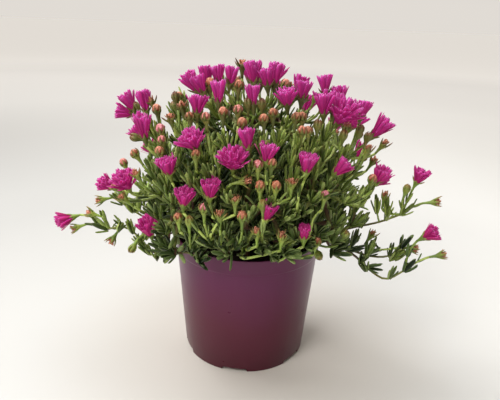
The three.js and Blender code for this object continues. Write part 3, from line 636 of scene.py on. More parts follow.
def through(points, count):
    """A smooth line through points, which eases at each in step with the distances between them."""
    ends = [points[0] * 2 - points[1], *points, points[-1] * 2 - points[-2]]
    raw = []
    for a, b, c, d in zip(ends, ends[1:], ends[2:], ends[3:]):
        gaps = [max(sqrt((q - p).length), 1e-4) for p, q in ((a, b), (b, c), (c, d))]
        one = ((b - a) / gaps[0] - (c - a) / (gaps[0] + gaps[1]) + (c - b) / gaps[1]) * gaps[1]
        two = ((c - b) / gaps[1] - (d - b) / (gaps[1] + gaps[2]) + (d - c) / gaps[2]) * gaps[1]
        for i in range(JOINT_STEPS):
            t = i / JOINT_STEPS
            cube = b * 2 - c * 2 + one + two
            square = c * 3 - b * 3 - one * 2 - two
            raw.append(cube * t ** 3 + square * t * t + one * t + b)
    raw.append(points[-1].copy())
    return evenly(raw, count)


def branch_line(start, end):
    """A branch rises, clears the rim and bends out to its truss."""
    control = start.lerp(end, 0.5)
    near = clamp((end - start).length / BRANCH.full)
    control.z += near * (BRANCH.rise + BRANCH.sprawl * max(0, BRANCH.below - end.z))
    return bow(start, control, end)


def branches_of(tips, fork):
    """Each branch grows from the fork or from the middle of an earlier one, whichever is nearer."""
    starts = [fork]
    branches = []
    for truss in sorted(trusses_of(tips), key=lambda truss: -(truss_end(truss, fork) - fork).length):
        end = truss_end(truss, fork)
        start = min(starts, key=lambda point: (point - end).length)
        line = branch_line(start, end)
        if (end - start).length > BRANCH.forked:
            starts.append(line[len(line) // 2])
        branches.append(Branch(truss, line))
    return branches


def runner_branch(runner, fork):
    """A runner passes over the rim and then through the points of its route."""
    depth = runner.depth
    route = [at_depth(x, y, depth) for x, y in runner.route]
    over = Vector((route[0].x, route[0].y, 0)).normalized() * (POT.rim + OVER_RIM.out)
    over.z = POT.height + OVER_RIM.up
    tips = [flower_tip(row, depth) for row in runner.flowers]
    tips += [bud_tip(*row, depth=depth) for row in runner.buds]
    fans = [at_depth(x, y, depth - 3) for x, y in runner.fans]
    line = through([fork, over, *route, at_depth(*runner.fork, depth)], RUNNER_POINTS)
    return Branch(tips, line, "runner", fans)


# Forms

def stand(name, data):
    """A new object in the scene."""
    thing = bpy.data.objects.new(name, data)
    bpy.context.scene.collection.objects.link(thing)
    return thing


def ring_faces(rings, sides, pointed):
    """The faces of a closed form of rings, capped at its foot, and at its top or at a point."""
    faces = [tuple(range(sides - 1, -1, -1))]
    for r in range(rings - 1):
        for k in range(sides):
            n = (k + 1) % sides
            faces.append((r * sides + k, r * sides + n, (r + 1) * sides + n, (r + 1) * sides + k))
    top = (rings - 1) * sides
    if pointed:
        faces.extend((top + k, top + (k + 1) % sides, rings * sides) for k in range(sides))
    else:
        faces.append(tuple(range(top, top + sides)))
    return faces


class Heap:
    """Many small closed forms gathered into one mesh, with values for their materials."""

    known_faces = {}

    def __init__(self, name, *materials):
        self.name, self.materials = name, materials
        self.points, self.faces, self.skins, self.count = [], [], [], 0
        self.values = {"tone": [], "along": [], "sun": [], "rim": []}

    def add(self, points, faces, along, tone, sun, skin=0, rim=0.0):
        self.points.append(np.array(points))
        self.faces.extend(tuple(i + self.count for i in face) for face in faces)
        self.skins.extend([skin] * len(faces))
        for name, value in (("tone", tone), ("along", along), ("sun", sun), ("rim", rim)):
            self.values[name].append(np.broadcast_to(value, len(points)))
        self.count += len(points)

    def add_rings(self, points, sides, along, tone, sun, skin=0, rim=0.0):
        """Adds a form of rings of points, which ends in a point where one is left over."""
        key = (len(points) // sides, sides, len(points) % sides == 1)
        if key not in self.known_faces:
            self.known_faces[key] = ring_faces(*key)
        self.add(points, self.known_faces[key], along, tone, sun, skin, rim)

    def piece(self, slot, *nodes):
        points = np.concatenate(self.points) * MM
        mesh = bpy.data.meshes.new(self.name)
        mesh.from_pydata(points.tolist(), [], self.faces)
        for name, parts in self.values.items():
            attribute = mesh.attributes.new(name, "FLOAT", "POINT")
            attribute.data.foreach_set("value", np.concatenate(parts).astype(np.float32))
        mesh.polygons.foreach_set("use_smooth", [True] * len(mesh.polygons))
        for material in self.materials:
            mesh.materials.append(material)
        mesh.polygons.foreach_set("material_index", self.skins)
        mesh.update()
        piece = stand(self.name, mesh)
        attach(piece, "root")
        if nodes:
            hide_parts(*nodes)


def blade(heap, base, ahead, over, size, form, bend, tone, sun, skin=0, blunt=(), twist=0.0):
    """A leaf, petal or lobe: rings of a profile along a line that bends towards its upper side.

    A blunt one ends in its last ring, of which the given points are drawn back."""
    length, width, depth = size
    shape, profile = form
    over = square_to(ahead, over)
    across = ahead.cross(over)
    at = base.copy()
    points, along = [], []
    last = 0.0
    for t, wide in shape:
        turn = bend * (t + last) / 2
        at = at + (ahead * cos(turn) + over * sin(turn)) * (length * (t - last))
        last = t
        lead = ahead * cos(bend * t) + over * sin(bend * t)
        top = over * cos(bend * t) - ahead * sin(bend * t)
        side = across * cos(twist * t) + top * sin(twist * t)
        face = top * cos(twist * t) - across * sin(twist * t)
        thick = min(1, wide * FULL_DEPTH)
        for u, v in profile:
            points.append(at + side * (u * wide * width / 2) + face * (v * thick * depth / 2))
            along.append(t)
    rim = [1.0 if abs(u) == 1 else 0.0 for u, v in profile] * len(shape)
    for k in blunt:
        points[k - len(profile)] -= lead * (length * BLUNTED)
    if not blunt:
        points.append(at + lead * (length * (1 - last)))
        along.append(1.0)
        rim.append(0.5)
    heap.add_rings(points, len(profile), along, tone, sun, skin, rim)


def tube(heap, line, radii, tone, sun, skin, sides):
    """A round stem or stalk along a line."""
    side = square_to((line[1] - line[0]).normalized(), Vector((0.3, 0.9, 0.2)))
    points, along = [], []
    for i, at in enumerate(line):
        ahead = (line[min(i + 1, len(line) - 1)] - line[max(i - 1, 0)]).normalized()
        side = square_to(ahead, side)
        other = ahead.cross(side)
        for k in range(sides):
            turn = TURN * k / sides
            points.append(at + (side * cos(turn) + other * sin(turn)) * radii[i])
            along.append(i / (len(line) - 1))
    heap.add_rings(points, sides, along, tone, sun, skin)


def tapered(thick, thin, line):
    return [between(thick, thin, i / (len(line) - 1)) for i in range(len(line))]


def spot(line, place):
    """The point of a line at a share of its length, and the way it runs there."""
    at = clamp(place) * (len(line) - 1)
    k = min(int(at), len(line) - 2)
    return line[k].lerp(line[k + 1], at - k), (line[k + 1] - line[k]).normalized()


# Leaves

def painted_light_at(point):
    """A place's painted light, standing in for the shade deep in the mound: more towards the crest and
    outside.
    """
    height = risen(point.z, *PAINTED_LIGHT.height)
    deep = BACK.deep if point.y > 0 else MOUND.deep
    scaled = Vector((point.x / MOUND.across, point.y / deep, (point.z - MOUND.z) / MOUND.up))
    shown = risen(scaled.length, *PAINTED_LIGHT.skin)
    return clamp(between(PAINTED_LIGHT.least, 1, height ** PAINTED_LIGHT.power) * between(PAINTED_LIGHT.inside, 1, shown))


def clear_of_pot(point, reach):
    """True where a form of that reach round a point touches neither the pot nor the soil."""
    radius = hypot(point.x, point.y)
    side = POT.foot + (POT.rim - POT.foot) * clamp(point.z / POT.height)
    if point.z > POT.height + reach or radius > side + reach:
        return True
    return radius < side - POT.wall - reach and point.z > soil_height(radius) + reach * 0.5


def all_clear(points, reach):
    return all(clear_of_pot(point, reach) for point in points)


def leaf(heap, base, ahead, over, length, chance, lit=0.0, slim=1.0):
    """One fleshy three-sided leaf, curved in towards its stem, or none where the pot is in the way.

    Low leaves are longer and wider, high ones narrower, and those at the plant's sides get more painted
    light."""
    size = LEAF_SIZE
    if not all_clear([base + ahead * (length * share) for share in (0.5, 1.0)], size.room):
        return
    low, high = risen(base.z, *size.low), risen(base.z, *size.high)
    length *= 1 + size.low_long * low
    width = slim * chance.uniform(*size.width) * clamp(length / size.full, *size.bounds)
    width *= 1 + size.low_wide * low - size.high_slim * high
    depth = width * chance.uniform(*size.depth)
    bend = chance.uniform(*size.bend)
    shown = base.x < 0 or base.z > size.side_floor
    beside = risen(abs(base.x), *size.side) if shown else 0
    # painted light: the place's painted light, plus painted light for runner fans and for leaves at the
    # plant's sides
    sun = clamp(painted_light_at(base) + (lit + size.side_light * beside))
    blade(heap, base, ahead, over, (length, width, depth), LEAF, bend, chance.random(), sun)


def leaf_pair(heap, at, along, turn, lean, length, chance):
    spoke = spokes(along, Vector((0.2, 0.3, 1)) if abs(along.z) < 0.9 else Vector((1, 0, 0)))
    for half in (0, pi):
        out = spoke(turn + half + chance.uniform(-PAIR.turn, PAIR.turn))
        ahead = leaning(along, out, lean * chance.uniform(*PAIR.lean), PAIR.lift)
        leaf(heap, at + out * PAIR.off, ahead, along, length * chance.uniform(*PAIR.size), chance)


def tuft(heap, at, axis, count, length, spread, chance, lit=0.0, slim=1.0):
    spoke = spokes(axis, Vector((1, 0.2, 0.1)))
    for k in range(count):
        out = spoke(TURN * GOLDEN * k + chance.random() * TUFT.turn)
        ahead = leaning(axis, out, spread * sqrt((k + 0.6) / count), TUFT.lift)
        size = length * between(TUFT.inner, TUFT.outer, k / count) * chance.uniform(*TUFT.size)
        base = at + out * TUFT.off - axis * (TUFT.deep * k / count)
        leaf(heap, base, ahead, axis, size, chance, lit, slim)


def end_tuft(heap, line, towards, form, chance):
    """A tuft at the end of a branch, turned part of the way towards a direction."""
    axis = (line[-1] - line[-2]).normalized().lerp(towards, form.turned).normalized()
    tuft(heap, line[-1], axis, form.leaves, form.size, form.spread, chance)


def runner_leaves(stems, leaves, branch, chance):
    """A runner bears close fans of leaves on short twigs, and small tufts between them."""
    line, slim = branch.line, FANS.slim
    for k, point in enumerate(branch.fans):
        start = min(line[4:], key=lambda place: (place - point).length)
        way = point - start
        foot = start + way * FANS.foot
        if way.length > FANS.twig and all_clear([start + way * t for t in FANS.tested], FANS.room):
            twig_line = bow(start, start.lerp(foot, 0.5) - UP, foot, len(FANS.radii))
            tube(stems, twig_line, FANS.radii, 0.6, 0.5, STALK, 6)
        rise = way.normalized() if way.length > FANS.near else UP
        axis = (rise * FANS.outward + UP * FANS.upright).normalized()
        # painted light added to the fan's leaves, more far out to the side
        lit = FANS.light + FANS.far_light * risen(abs(point.x), *FANS.far)
        size = chance.uniform(*FANS.size)
        tuft(leaves, foot, axis, FANS.leaves[k % 2], size, FANS.spread, chance, lit, slim)
    small = SMALL_TUFTS
    count = round(length_of(line) * small.share / small.gap)
    for i in range(count):
        at, along = spot(line, small.first + small.along * (i + 0.5) / count)
        aside = square_to(along, UP) * chance.uniform(*small.aside)
        lean = (aside + along * small.ahead).normalized()
        axis = (lean + along * small.onwards).normalized()
        # painted light added to the small tufts' leaves far out to the side
        lit = FANS.far_light * risen(abs(at.x), *FANS.far)
        size = chance.uniform(*small.size)
        tuft(leaves, at + lean * small.off, axis, small.leaves, size, small.spread, chance, lit, slim)


def leafy_line(leaves, line, chance):
    """Pairs of leaves along a branch, from its first part to its end."""
    count = int(length_of(line) * LEAFY.share / LEAFY.gap)
    turn = chance.random() * pi
    for i in range(count):
        at, along = spot(line, LEAFY.first + LEAFY.along * (i + 0.5) / count)
        turn += pi / 2
        leaf_pair(leaves, at, along, turn, LEAFY.lean, chance.uniform(*LEAFY.size), chance)


def fill_points():
    """Even places in the leafy body of the mound, from its heart outwards."""
    chance = random.Random(7)
    places = []
    for _ in range(FILL.tries):
        axis = Vector((chance.uniform(-1, 1), chance.uniform(-1, 1), chance.uniform(-1, 1)))
        if not FILL.hollow < axis.length < 1:
            continue
        point = Vector((
            axis.x * FILL.across,
            axis.y * (FILL.back if axis.y > 0 else FILL.front),
            axis.z * (FILL.up if axis.z > 0 else FILL.down),
        ))
        point.z += FILL.z
        low = point.z < POT.height + FILL.over_rim
        if low and hypot(point.x, point.y) > POT.rim or not clear_of_pot(point, FILL.room):
            continue
        gap = FILL.low_gap if point.z < FILL.z else FILL.high_gap if point.z < FILL.top else FILL.top_gap
        if all((point - other).length > gap for other, share in places):
            places.append((point, axis.length))
    return [point for point, share in sorted(places, key=lambda place: place[1])]


def fill_twigs():
    """Grows a twig from the nearest stem to each of those places, and returns them by sector."""
    knots = []
    for sector, plant in plants.items():
        for branch in plant.branches:
            if branch.kind != "runner":
                knots += [(point, sector) for point in branch.line]
    twigs = {sector: [] for sector in plants}
    close, close_cost = TWIG.close
    least, most = TWIG.reach

    def cost(knot):
        way = point - knot[0]
        return way.length + (0 if way.z > -3 else TWIG.down) + (close_cost if way.length < close else 0)

    for point in fill_points():
        start, sector = min(knots, key=cost)
        way = point - start
        if not least < way.length < most:
            continue
        aside = way.cross(Vector((0.2, 0.1, 1))).normalized() * (way.length * TWIG.aside)
        control = start.lerp(point, 0.5) + aside - UP * (way.length * TWIG.sag)
        line = bow(start, control, point, 7)
        if all_clear(line[1:], TWIG.room):
            twigs[sector].append(line)
            knots += [(place, sector) for place in line[2:]]
    return twigs


def twig(stems, leaves, line, chance):
    """A short side shoot with pairs of leaves and a tuft at its end."""
    length, gap = length_of(line), TWIG.gap
    radii = tapered(*TWIG.radius, line)
    tube(stems, line, radii, chance.random(), painted_light_at(line[-1]) * TWIG.sun, BARK, 6)
    turn = chance.random() * pi
    for i in range(max(1, round(min(length, TWIG.leafy) / gap))):
        at, along = spot(line, 1 - (i + TWIG.last_pair) * gap / max(length, TWIG.least))
        leaf_pair(leaves, at, along, turn + i * pi / 2, TWIG.lean, TWIG.size, chance)
    end, along = line[-1], (line[-1] - line[-2]).normalized()
    size, spread = TWIG.shaded_tuft if painted_light_at(end) < TWIG.shaded else TWIG.tuft
    tuft(leaves, end, along.lerp(UP, TWIG.upright).normalized(), TWIG.leaves, size, spread, chance)


# Flowers and buds

def look_of(tip, chance):
    """How a tip's cup looks. Buds at the plant's edge are mostly faded."""
    if tip.kind == "flower":
        return "open"
    share = chance.random()
    if tip.at == TOP_BUD:
        return "spent"
    if tip.at in ROUND_BUDS:
        return "globe"
    if tip.at and not (EDGE.left <= tip.at[0] <= EDGE.right and tip.at[1] <= EDGE.low):
        return "closed" if share < BUD_SHARES.edge else "faded"
    globes, spent = BUD_SHARES.shown if tip.at else BUD_SHARES.back
    return "globe" if share < globes else "spent" if share < spent else "closed"


def cup(heap, tip, look, chance):
    """The green cup under a flower or bud, with its five fleshy lobes."""
    foot, axis = tip.stalk_end(), tip.axis
    spoke = spokes(axis, Vector((1, 0.4, 0.2)))
    size = TOP_BUD_SIZE if tip.at == TOP_BUD else 1.0
    wide, leans, lengths, bend = CUP_LOOKS[look]
    turned = chance.random() * 2
    tone, sun = chance.random(), painted_light_at(foot)
    points, along = [], []
    for height, radius in OPEN_CUP if look == "open" else SHUT_CUP:
        if height > CUP / 2:
            radius *= wide
        for k in range(HEAD_SIDES):
            turn = TURN * k / HEAD_SIDES
            swell = 1 + CUP_FORM.swell * cos(CUP_FORM.ribs * (turn - turned)) * height / CUP
            points.append(foot + axis * height + spoke(turn) * (radius * swell * size))
            along.append(height / CUP * CUP_FORM.shade)
    heap.add_rings(points, HEAD_SIDES, along, tone, sun, CUPS)
    lobe, count = LOBE_SIZE, LOBE_SIZE.count
    rise, aside = ON_OPEN_CUP if look == "open" else ON_SHUT_CUP
    for k in range(count):
        out = spoke(TURN * k / count + turned + chance.uniform(-lobe.turn, lobe.turn))
        lean, length = chance.uniform(*leans), chance.uniform(*lengths)
        if size > 1:
            lean, length = lean + lobe.top_lean, length * size
        width = chance.uniform(*lobe.width) + (lobe.closed if look == "closed" else 0)
        start = foot + axis * rise + out * (aside * size)
        ahead = leaning(axis, out, lean)
        blade(heap, start, ahead, -out, (length, width, lobe.thick), LOBE, bend, tone, sun, LOBES)


def bud_crown(heap, tip, look, chance):
    """The closed petals of a bud in a low spiral over its cup, with withered ones where it is spent."""
    globe, axis = look == "globe", tip.axis
    foot = tip.foot + axis * (0.5 if globe else -0.4)
    spoke = spokes(axis, Vector((1, 0.4, 0.2)))
    size = chance.uniform(*(HEAD.globe if globe else HEAD.small))
    points, along, painted_fold_shade = [], [], []
    for i, (height, radius) in enumerate(BUD_HEAD):
        for k in range(HEAD_SIDES):
            turn = TURN * k / HEAD_SIDES
            swell = 1 + HEAD.folds * cos(5 * turn)
            uneven = 1 + chance.uniform(-HEAD.uneven, HEAD.uneven)
            out = spoke(turn + HEAD.twist * i)
            points.append(foot + axis * (height * size) + out * (radius * size * swell * uneven))
            along.append(i / (len(BUD_HEAD) - 1))
            # marks the folds for painted shade and the ridges between them for a painted highlight
            painted_fold_shade.append(0.0 if k % 3 == 0 else 1.0)
    points.append(foot + axis * (HEAD.end * size))
    along.append(1.0)
    painted_fold_shade.append(0.5)
    tone = chance.random() if globe else chance.random() * 0.3
    heap.add_rings(points, HEAD_SIDES, along, tone, painted_light_at(foot), BUD, painted_fold_shade)
    if look not in ("spent", "faded"):
        return
    for k in range(WITHERED.count):
        out = spoke(TURN * GOLDEN * k)
        ahead = leaning(axis, out, chance.uniform(*WITHERED.lean))
        petal = (chance.uniform(*WITHERED.length), WITHERED.width, WITHERED.thick)
        bend = chance.uniform(*WITHERED.bend)
        tone = chance.random() * WITHERED.tone
        blade(heap, foot + out, ahead, -out, petal, PETAL, bend, tone, painted_light_at(foot), BUD)


def long_stalk(tip, branches):
    """The line of a stalk that stands out in the picture, or none where it would touch the pot."""
    foot, axis, long = tip.stalk_end(), tip.axis, LONG_STALK
    route = [on_mound(x, y) for x, y in LONG_STALKS.get(tip.at, ())][::-1]
    route = [point for point in route if (foot - point).dot(axis) > long.under_cup]
    route = [point for point in route if clear_of_pot(point, long.off_pot)]
    if not route:
        return None
    lowest = route[0]
    within = Vector((0, 0, max(lowest.z + long.rise, POT.height + long.over_rim)))
    inner = lowest + (within - lowest).normalized() * long.inwards
    knots = [point for branch in branches for point in branch.line[2:]]
    start = min(knots, key=lambda point: (point - inner).length)
    base = [start, inner] if (start - inner).length > long.apart else [start]
    line = through([*base, *route, foot + axis * INTO_CUP], long.points)
    return line if all_clear(line, long.room) else None


def stalk(heap, leaves, start, tip, branches, chance):
    """The slender stalk of a flower or bud, with a pair of small leaves part of the way up."""
    foot = tip.stalk_end()
    tone = chance.random()
    line = long_stalk(tip, branches)
    if line:
        long = LONG_STALK
        radii = [between(*long.radius, min(1, i / long.taper)) for i in range(len(line) - 1)]
        tube(heap, line, [*radii, long.end], 0.6 + 0.4 * tone, painted_light_at(foot), STALK, 8)
        for share in long.leafy:
            at, along = spot(line, share)
            turn = chance.random() * 3
            leaf_pair(leaves, at, along, turn, long.lean, chance.uniform(*long.size), chance)
        return
    short = SHORT_STALK
    span = (foot - start).length
    control = (foot - tip.axis * (span * short.straight)).lerp(start.lerp(foot, 0.5), short.eased)
    line = bow(start, control, foot + tip.axis * INTO_CUP, len(short.radii))
    tube(heap, line, short.radii, tone, painted_light_at(foot), STALK, 7)
    if span > short.leafy:
        k = 3 if chance.random() < 0.5 else 4
        along = (line[k + 1] - line[k]).normalized()
        turn = chance.random() * 3
        leaf_pair(leaves, line[k], along, turn, short.lean, chance.uniform(*short.size), chance)


def petals(heap, tip, chance):
    """A brush of narrow petals in close rows, longest on the outside."""
    axis, length, deep = tip.axis, tip.length, BRUSH.deep
    foot = tip.foot - axis * deep
    spoke = spokes(axis, Vector((0.7, 0.6, 0.2)))
    widest = atan2(length * sin(tip.opened), length * cos(tip.opened) + deep)
    count = round(between(*BRUSH.count, risen(widest, *BRUSH.filling)))
    limp = risen(widest, *BRUSH.limp)
    hue = chance.random()
    for k in range(count):
        share = (k + 0.5) / count
        out = spoke(TURN * GOLDEN * k + chance.uniform(-BRUSH.turn, BRUSH.turn))
        lean = widest * between(BRUSH.upright, 1, share ** BRUSH.fanning)
        ahead = leaning(axis, out, lean + chance.uniform(-BRUSH.sway, BRUSH.sway))
        start = foot + out * (BRUSH.foot[0] + BRUSH.foot[1] * share ** 0.5)
        reach = (length + deep) * between(BRUSH.inner, 1.0, share ** 0.5) * chance.uniform(*BRUSH.reach)
        bend = chance.uniform(*BRUSH.bend) * (0.5 + widest) - BRUSH.droop * share * limp
        size = (reach, chance.uniform(*BRUSH.width), BRUSH.thick)
        tone = clamp(hue * BRUSH.same_hue + chance.random() * (1 - BRUSH.same_hue))
        twist = chance.uniform(-BRUSH.twist, BRUSH.twist)
        blade(heap, start, ahead, -out, size, PETAL, bend, tone, painted_light_at(foot), 0, BLUNT_PETAL, twist)


# Materials

class Shading:
    """Short ways to make the nodes of a material or of the world.

    What feeds a node is a number, a colour, another node's output or the name of a mesh's value."""

    def __init__(self, owner):
        self.owner = owner
        owner.use_nodes = True
        self.nodes, self.links = owner.node_tree.nodes, owner.node_tree.links

    def feed(self, socket, value):
        if isinstance(value, str):
            node = self.nodes.new("ShaderNodeAttribute")
            node.attribute_name = value
            value = node.outputs["Fac"]
        if isinstance(value, (int, float)):
            socket.default_value = value
        elif isinstance(value, tuple):
            socket.default_value = (*value, 1)
        else:
            self.links.new(value, socket)

    def ramp(self, factor, *stops):
        """Colours, or greys given as one number, at places along a factor."""
        node = self.nodes.new("ShaderNodeValToRGB")
        self.feed(node.inputs["Fac"], factor)
        band = node.color_ramp
        while len(band.elements) < len(stops):
            band.elements.new(0.5)
        for element, (position, colour) in zip(band.elements, stops):
            element.position = position
            element.color = (*colour, 1) if isinstance(colour, tuple) else (colour, colour, colour, 1)
        return node.outputs["Color"]

    def mix(self, factor, a, b, blend="MIX"):
        node = self.nodes.new("ShaderNodeMix")
        node.data_type, node.blend_type = "RGBA", blend
        for index, value in ((0, factor), (6, a), (7, b)):
            self.feed(node.inputs[index], value)
        return node.outputs[2]

    def tint(self, a, b):
        return self.mix(1.0, a, b, "MULTIPLY")

    def math(self, operation, a, b):
        node = self.nodes.new("ShaderNodeMath")
        node.operation, node.use_clamp = operation, True
        self.feed(node.inputs[0], a)
        self.feed(node.inputs[1], b)
        return node.outputs[0]

    def times(self, a, b):
        return self.math("MULTIPLY", a, b)

    def plus(self, a, b):
        return self.math("ADD", a, b)

    def place(self):
        return self.nodes.new("ShaderNodeTexCoord").outputs["Object"]

    def noise(self, scale, detail=3.0, stretch=(1, 1, 1), roughness=0.55):
        mapping = self.nodes.new("ShaderNodeMapping")
        mapping.inputs["Scale"].default_value = stretch
        self.links.new(self.place(), mapping.inputs["Vector"])
        node = self.nodes.new("ShaderNodeTexNoise")
        for name, value in (("Scale", scale), ("Detail", detail), ("Roughness", roughness)):
            node.inputs[name].default_value = value
        self.links.new(mapping.outputs["Vector"], node.inputs["Vector"])
        return node.outputs["Fac"]


class Skin(Shading):
    """A material with one plain shader."""

    def __init__(self, name, roughness, specular):
        super().__init__(bpy.data.materials.new(name))
        self.inputs = self.nodes["Principled BSDF"].inputs
        self.inputs["Roughness"].default_value = roughness
        self.inputs["Specular IOR Level"].default_value = specular

    def mottle(self, colour, scale, dark, light):
        """A colour times uneven ones, each given with its place in the noise."""
        return self.tint(colour, self.ramp(self.noise(scale), dark, light))

    def paint(self, colour):
        self.links.new(colour, self.inputs["Base Color"])

    def bump(self, height, strength, distance):
        node = self.nodes.new("ShaderNodeBump")
        node.inputs["Strength"].default_value = strength
        node.inputs["Distance"].default_value = distance
        self.links.new(height, node.inputs["Height"])
        self.links.new(node.outputs["Normal"], self.inputs["Normal"])

    def soften(self, weight, colour, scale):
        self.inputs["Subsurface Weight"].default_value = weight
        self.inputs["Subsurface Radius"].default_value = colour
        self.inputs["Subsurface Scale"].default_value = scale

    def glow(self, colour):
        self.feed(self.inputs["Emission Color"], colour)
        self.inputs["Emission Strength"].default_value = 1.0


def leaf_skin():
    """Near black as painted shade where the painted light is low, light green elsewhere, with reddened
    tips and paler edges.
    """
    skin = Skin("ice_plant_leaf", 0.46, 0.2)
    # painted shade and painted light: a shaded and a lit copy of the leaf colour, mixed by the painted
    # light value
    shade = skin.ramp(
        "tone", (0, (0.004, 0.011, 0.004)), (0.5, (0.013, 0.034, 0.011)), (0.8, (0.078, 0.132, 0.04)),
        (1, (0.21, 0.275, 0.1)),
    )
    light = skin.ramp(
        "tone", (0, (0.05, 0.084, 0.014)), (0.5, (0.192, 0.26, 0.041)), (0.8, (0.37, 0.465, 0.105)),
        (1, (0.55, 0.67, 0.23)),
    )
    colour = skin.mix("sun", shade, light)
    colour = skin.mottle(colour, 420, (0.35, (0.78, 0.8, 0.74)), (0.65, (1.12, 1.1, 1.05)))
    reddened = skin.times(skin.ramp("along", (0.86, 0), (1, 1)), "sun")
    colour = skin.mix(skin.times(reddened, 0.5), colour, (0.2, 0.085, 0.035))
    edged = skin.times(skin.ramp("rim", (0.55, 0), (1, 1)), 0.5)
    skin.paint(skin.mix(edged, colour, (0.31, 0.38, 0.15)))
    skin.bump(skin.noise(2600, 2), 0.25, 0.0002)
    skin.soften(0.12, (0.5, 0.8, 0.15), 0.0015)
    return skin


def bark_skin():
    """Brown and woody low down, green towards the young ends in the light."""
    skin = Skin("ice_plant_stem", 0.6, 0.35)
    woody = skin.ramp(
        skin.noise(260, 4, (1, 1, 0.35)), (0.3, (0.045, 0.02, 0.012)), (0.7, (0.125, 0.058, 0.03)),
    )
    green = skin.ramp(skin.noise(200), (0.3, (0.18, 0.195, 0.045)), (0.7, (0.27, 0.32, 0.08)))
    young = skin.ramp(skin.plus(skin.times("along", 0.8), skin.times("sun", 0.45)), (0.45, 0), (0.85, 1))
    skin.paint(skin.mix(young, woody, green))
    skin.bump(skin.noise(900, 4, (1, 1, 0.3)), 0.5, 0.0004)
    return skin


def stalk_skin():
    skin = Skin("flower_stalk", 0.42, 0.45)
    colour = skin.ramp(
        "tone", (0, (0.14, 0.205, 0.034)), (0.5, (0.26, 0.345, 0.06)), (1, (0.45, 0.55, 0.14)),
    )
    skin.paint(skin.mottle(colour, 380, (0.3, (0.84, 0.86, 0.78)), (0.7, (1.1, 1.1, 1.05))))
    skin.bump(skin.noise(2200, 2), 0.2, 0.0002)
    skin.soften(0.12, (0.6, 0.8, 0.2), 0.0015)
    return skin


def cup_skin():
    skin = Skin("flower_cup", 0.45, 0.4)
    # painted shade: cups turn dark olive as the painted light rises, since those on the crest stand
    # backlit
    colour = skin.ramp(
        "sun", (0.25, (0.19, 0.28, 0.05)), (0.6, (0.14, 0.185, 0.036)), (0.95, (0.1, 0.1, 0.026)),
    )
    colour = skin.tint(colour, skin.ramp("tone", (0, (0.65, 0.7, 0.6)), (1, (1.5, 1.45, 1.4))))
    colour = skin.tint(colour, skin.ramp("along", (0.3, 1), (0.55, (1.25, 0.85, 0.8))))
    skin.paint(skin.mottle(colour, 420, (0.3, (0.8, 0.82, 0.76)), (0.7, (1.12, 1.1, 1.05))))
    skin.bump(skin.noise(2200, 2), 0.2, 0.0002)
    skin.soften(0.1, (0.6, 0.8, 0.2), 0.0015)
    return skin


def lobe_skin():
    """Green at the foot of a lobe, and brown or red towards its end, more so where the painted light is
    high.
    """
    skin = Skin("cup_lobe", 0.5, 0.4)
    along = skin.times("along", skin.plus(skin.times("sun", 0.55), 0.5))
    along = skin.plus(along, skin.times(skin.noise(300, 2), 0.25))
    colour = skin.ramp(
        along, (0.2, (0.2, 0.29, 0.052)), (0.55, (0.25, 0.185, 0.044)), (0.9, (0.23, 0.07, 0.026)),
    )
    # painted shade: darker where the painted light is high, for the backlit lobes on the crest
    skin.paint(skin.tint(colour, skin.ramp("sun", (0.3, 1), (0.95, (0.5, 0.45, 0.5)))))
    skin.bump(skin.noise(2000, 2), 0.3, 0.0002)
    return skin


def bud_skin():
    """Brown, salmon or pink by bud, paler above, with painted shade in its folds and low down, painted
    highlight on its ridges.
    """
    skin = Skin("bud_petals", 0.5, 0.35)
    colour = skin.ramp(
        "tone", (0, (0.27, 0.115, 0.045)), (0.3, (0.42, 0.17, 0.075)), (0.6, (0.56, 0.23, 0.16)),
        (1, (0.62, 0.22, 0.36)),
    )
    colour = skin.mix(skin.ramp("along", (0.1, 0), (0.9, 0.4)), colour, (0.7, 0.34, 0.27))
    colour = skin.mottle(colour, 900, (0.35, (0.62, 0.52, 0.46)), (0.65, (1.12, 1.1, 1.1)))
    # painted shade in the folds and a painted highlight on the ridges
    colour = skin.tint(colour, skin.ramp("rim", (0.1, 1.25), (0.9, (0.85, 0.7, 0.64))))
    # painted shade low on the head, where it sits down in the cup
    skin.paint(skin.tint(colour, skin.ramp("along", (0.15, (0.5, 0.42, 0.3)), (0.5, 1.1))))
    skin.soften(0.15, (0.9, 0.4, 0.3), 0.0015)
    return skin


def petal_skin():
    """Magenta, redder where the painted light is low and more purple where it is high, lighter towards
    the ends.
    """
    skin = Skin("magenta_petal", 0.7, 0.1)
    # painted shade at the petals' feet, where they crowd, and a painted highlight at their ends
    red = skin.ramp(
        "along", (0, (0.23, 0.006, 0.036)), (0.4, (0.29, 0.012, 0.068)), (0.8, (0.33, 0.02, 0.108)),
        (1, (0.37, 0.045, 0.165)),
    )
    purple = skin.ramp(
        "along", (0, (0.18, 0.006, 0.048)), (0.4, (0.25, 0.012, 0.094)), (0.8, (0.29, 0.022, 0.148)),
        (1, (0.34, 0.06, 0.225)),
    )
    colour = skin.mix("sun", red, purple)
    colour = skin.tint(colour, skin.ramp("tone", (0, (0.86, 0.78, 0.84)), (1, (1.1, 1.25, 1.15))))
    skin.paint(skin.mottle(colour, 1500, (0.3, (0.88, 0.8, 0.86)), (0.7, (1.08, 1.1, 1.08))))
    # painted light: a faint glow that lifts the petals' shaded sides, in place of light through them
    skin.glow((0.115, 0.006, 0.046))
    skin.soften(0.3, (1.0, 0.12, 0.45), 0.002)
    return skin


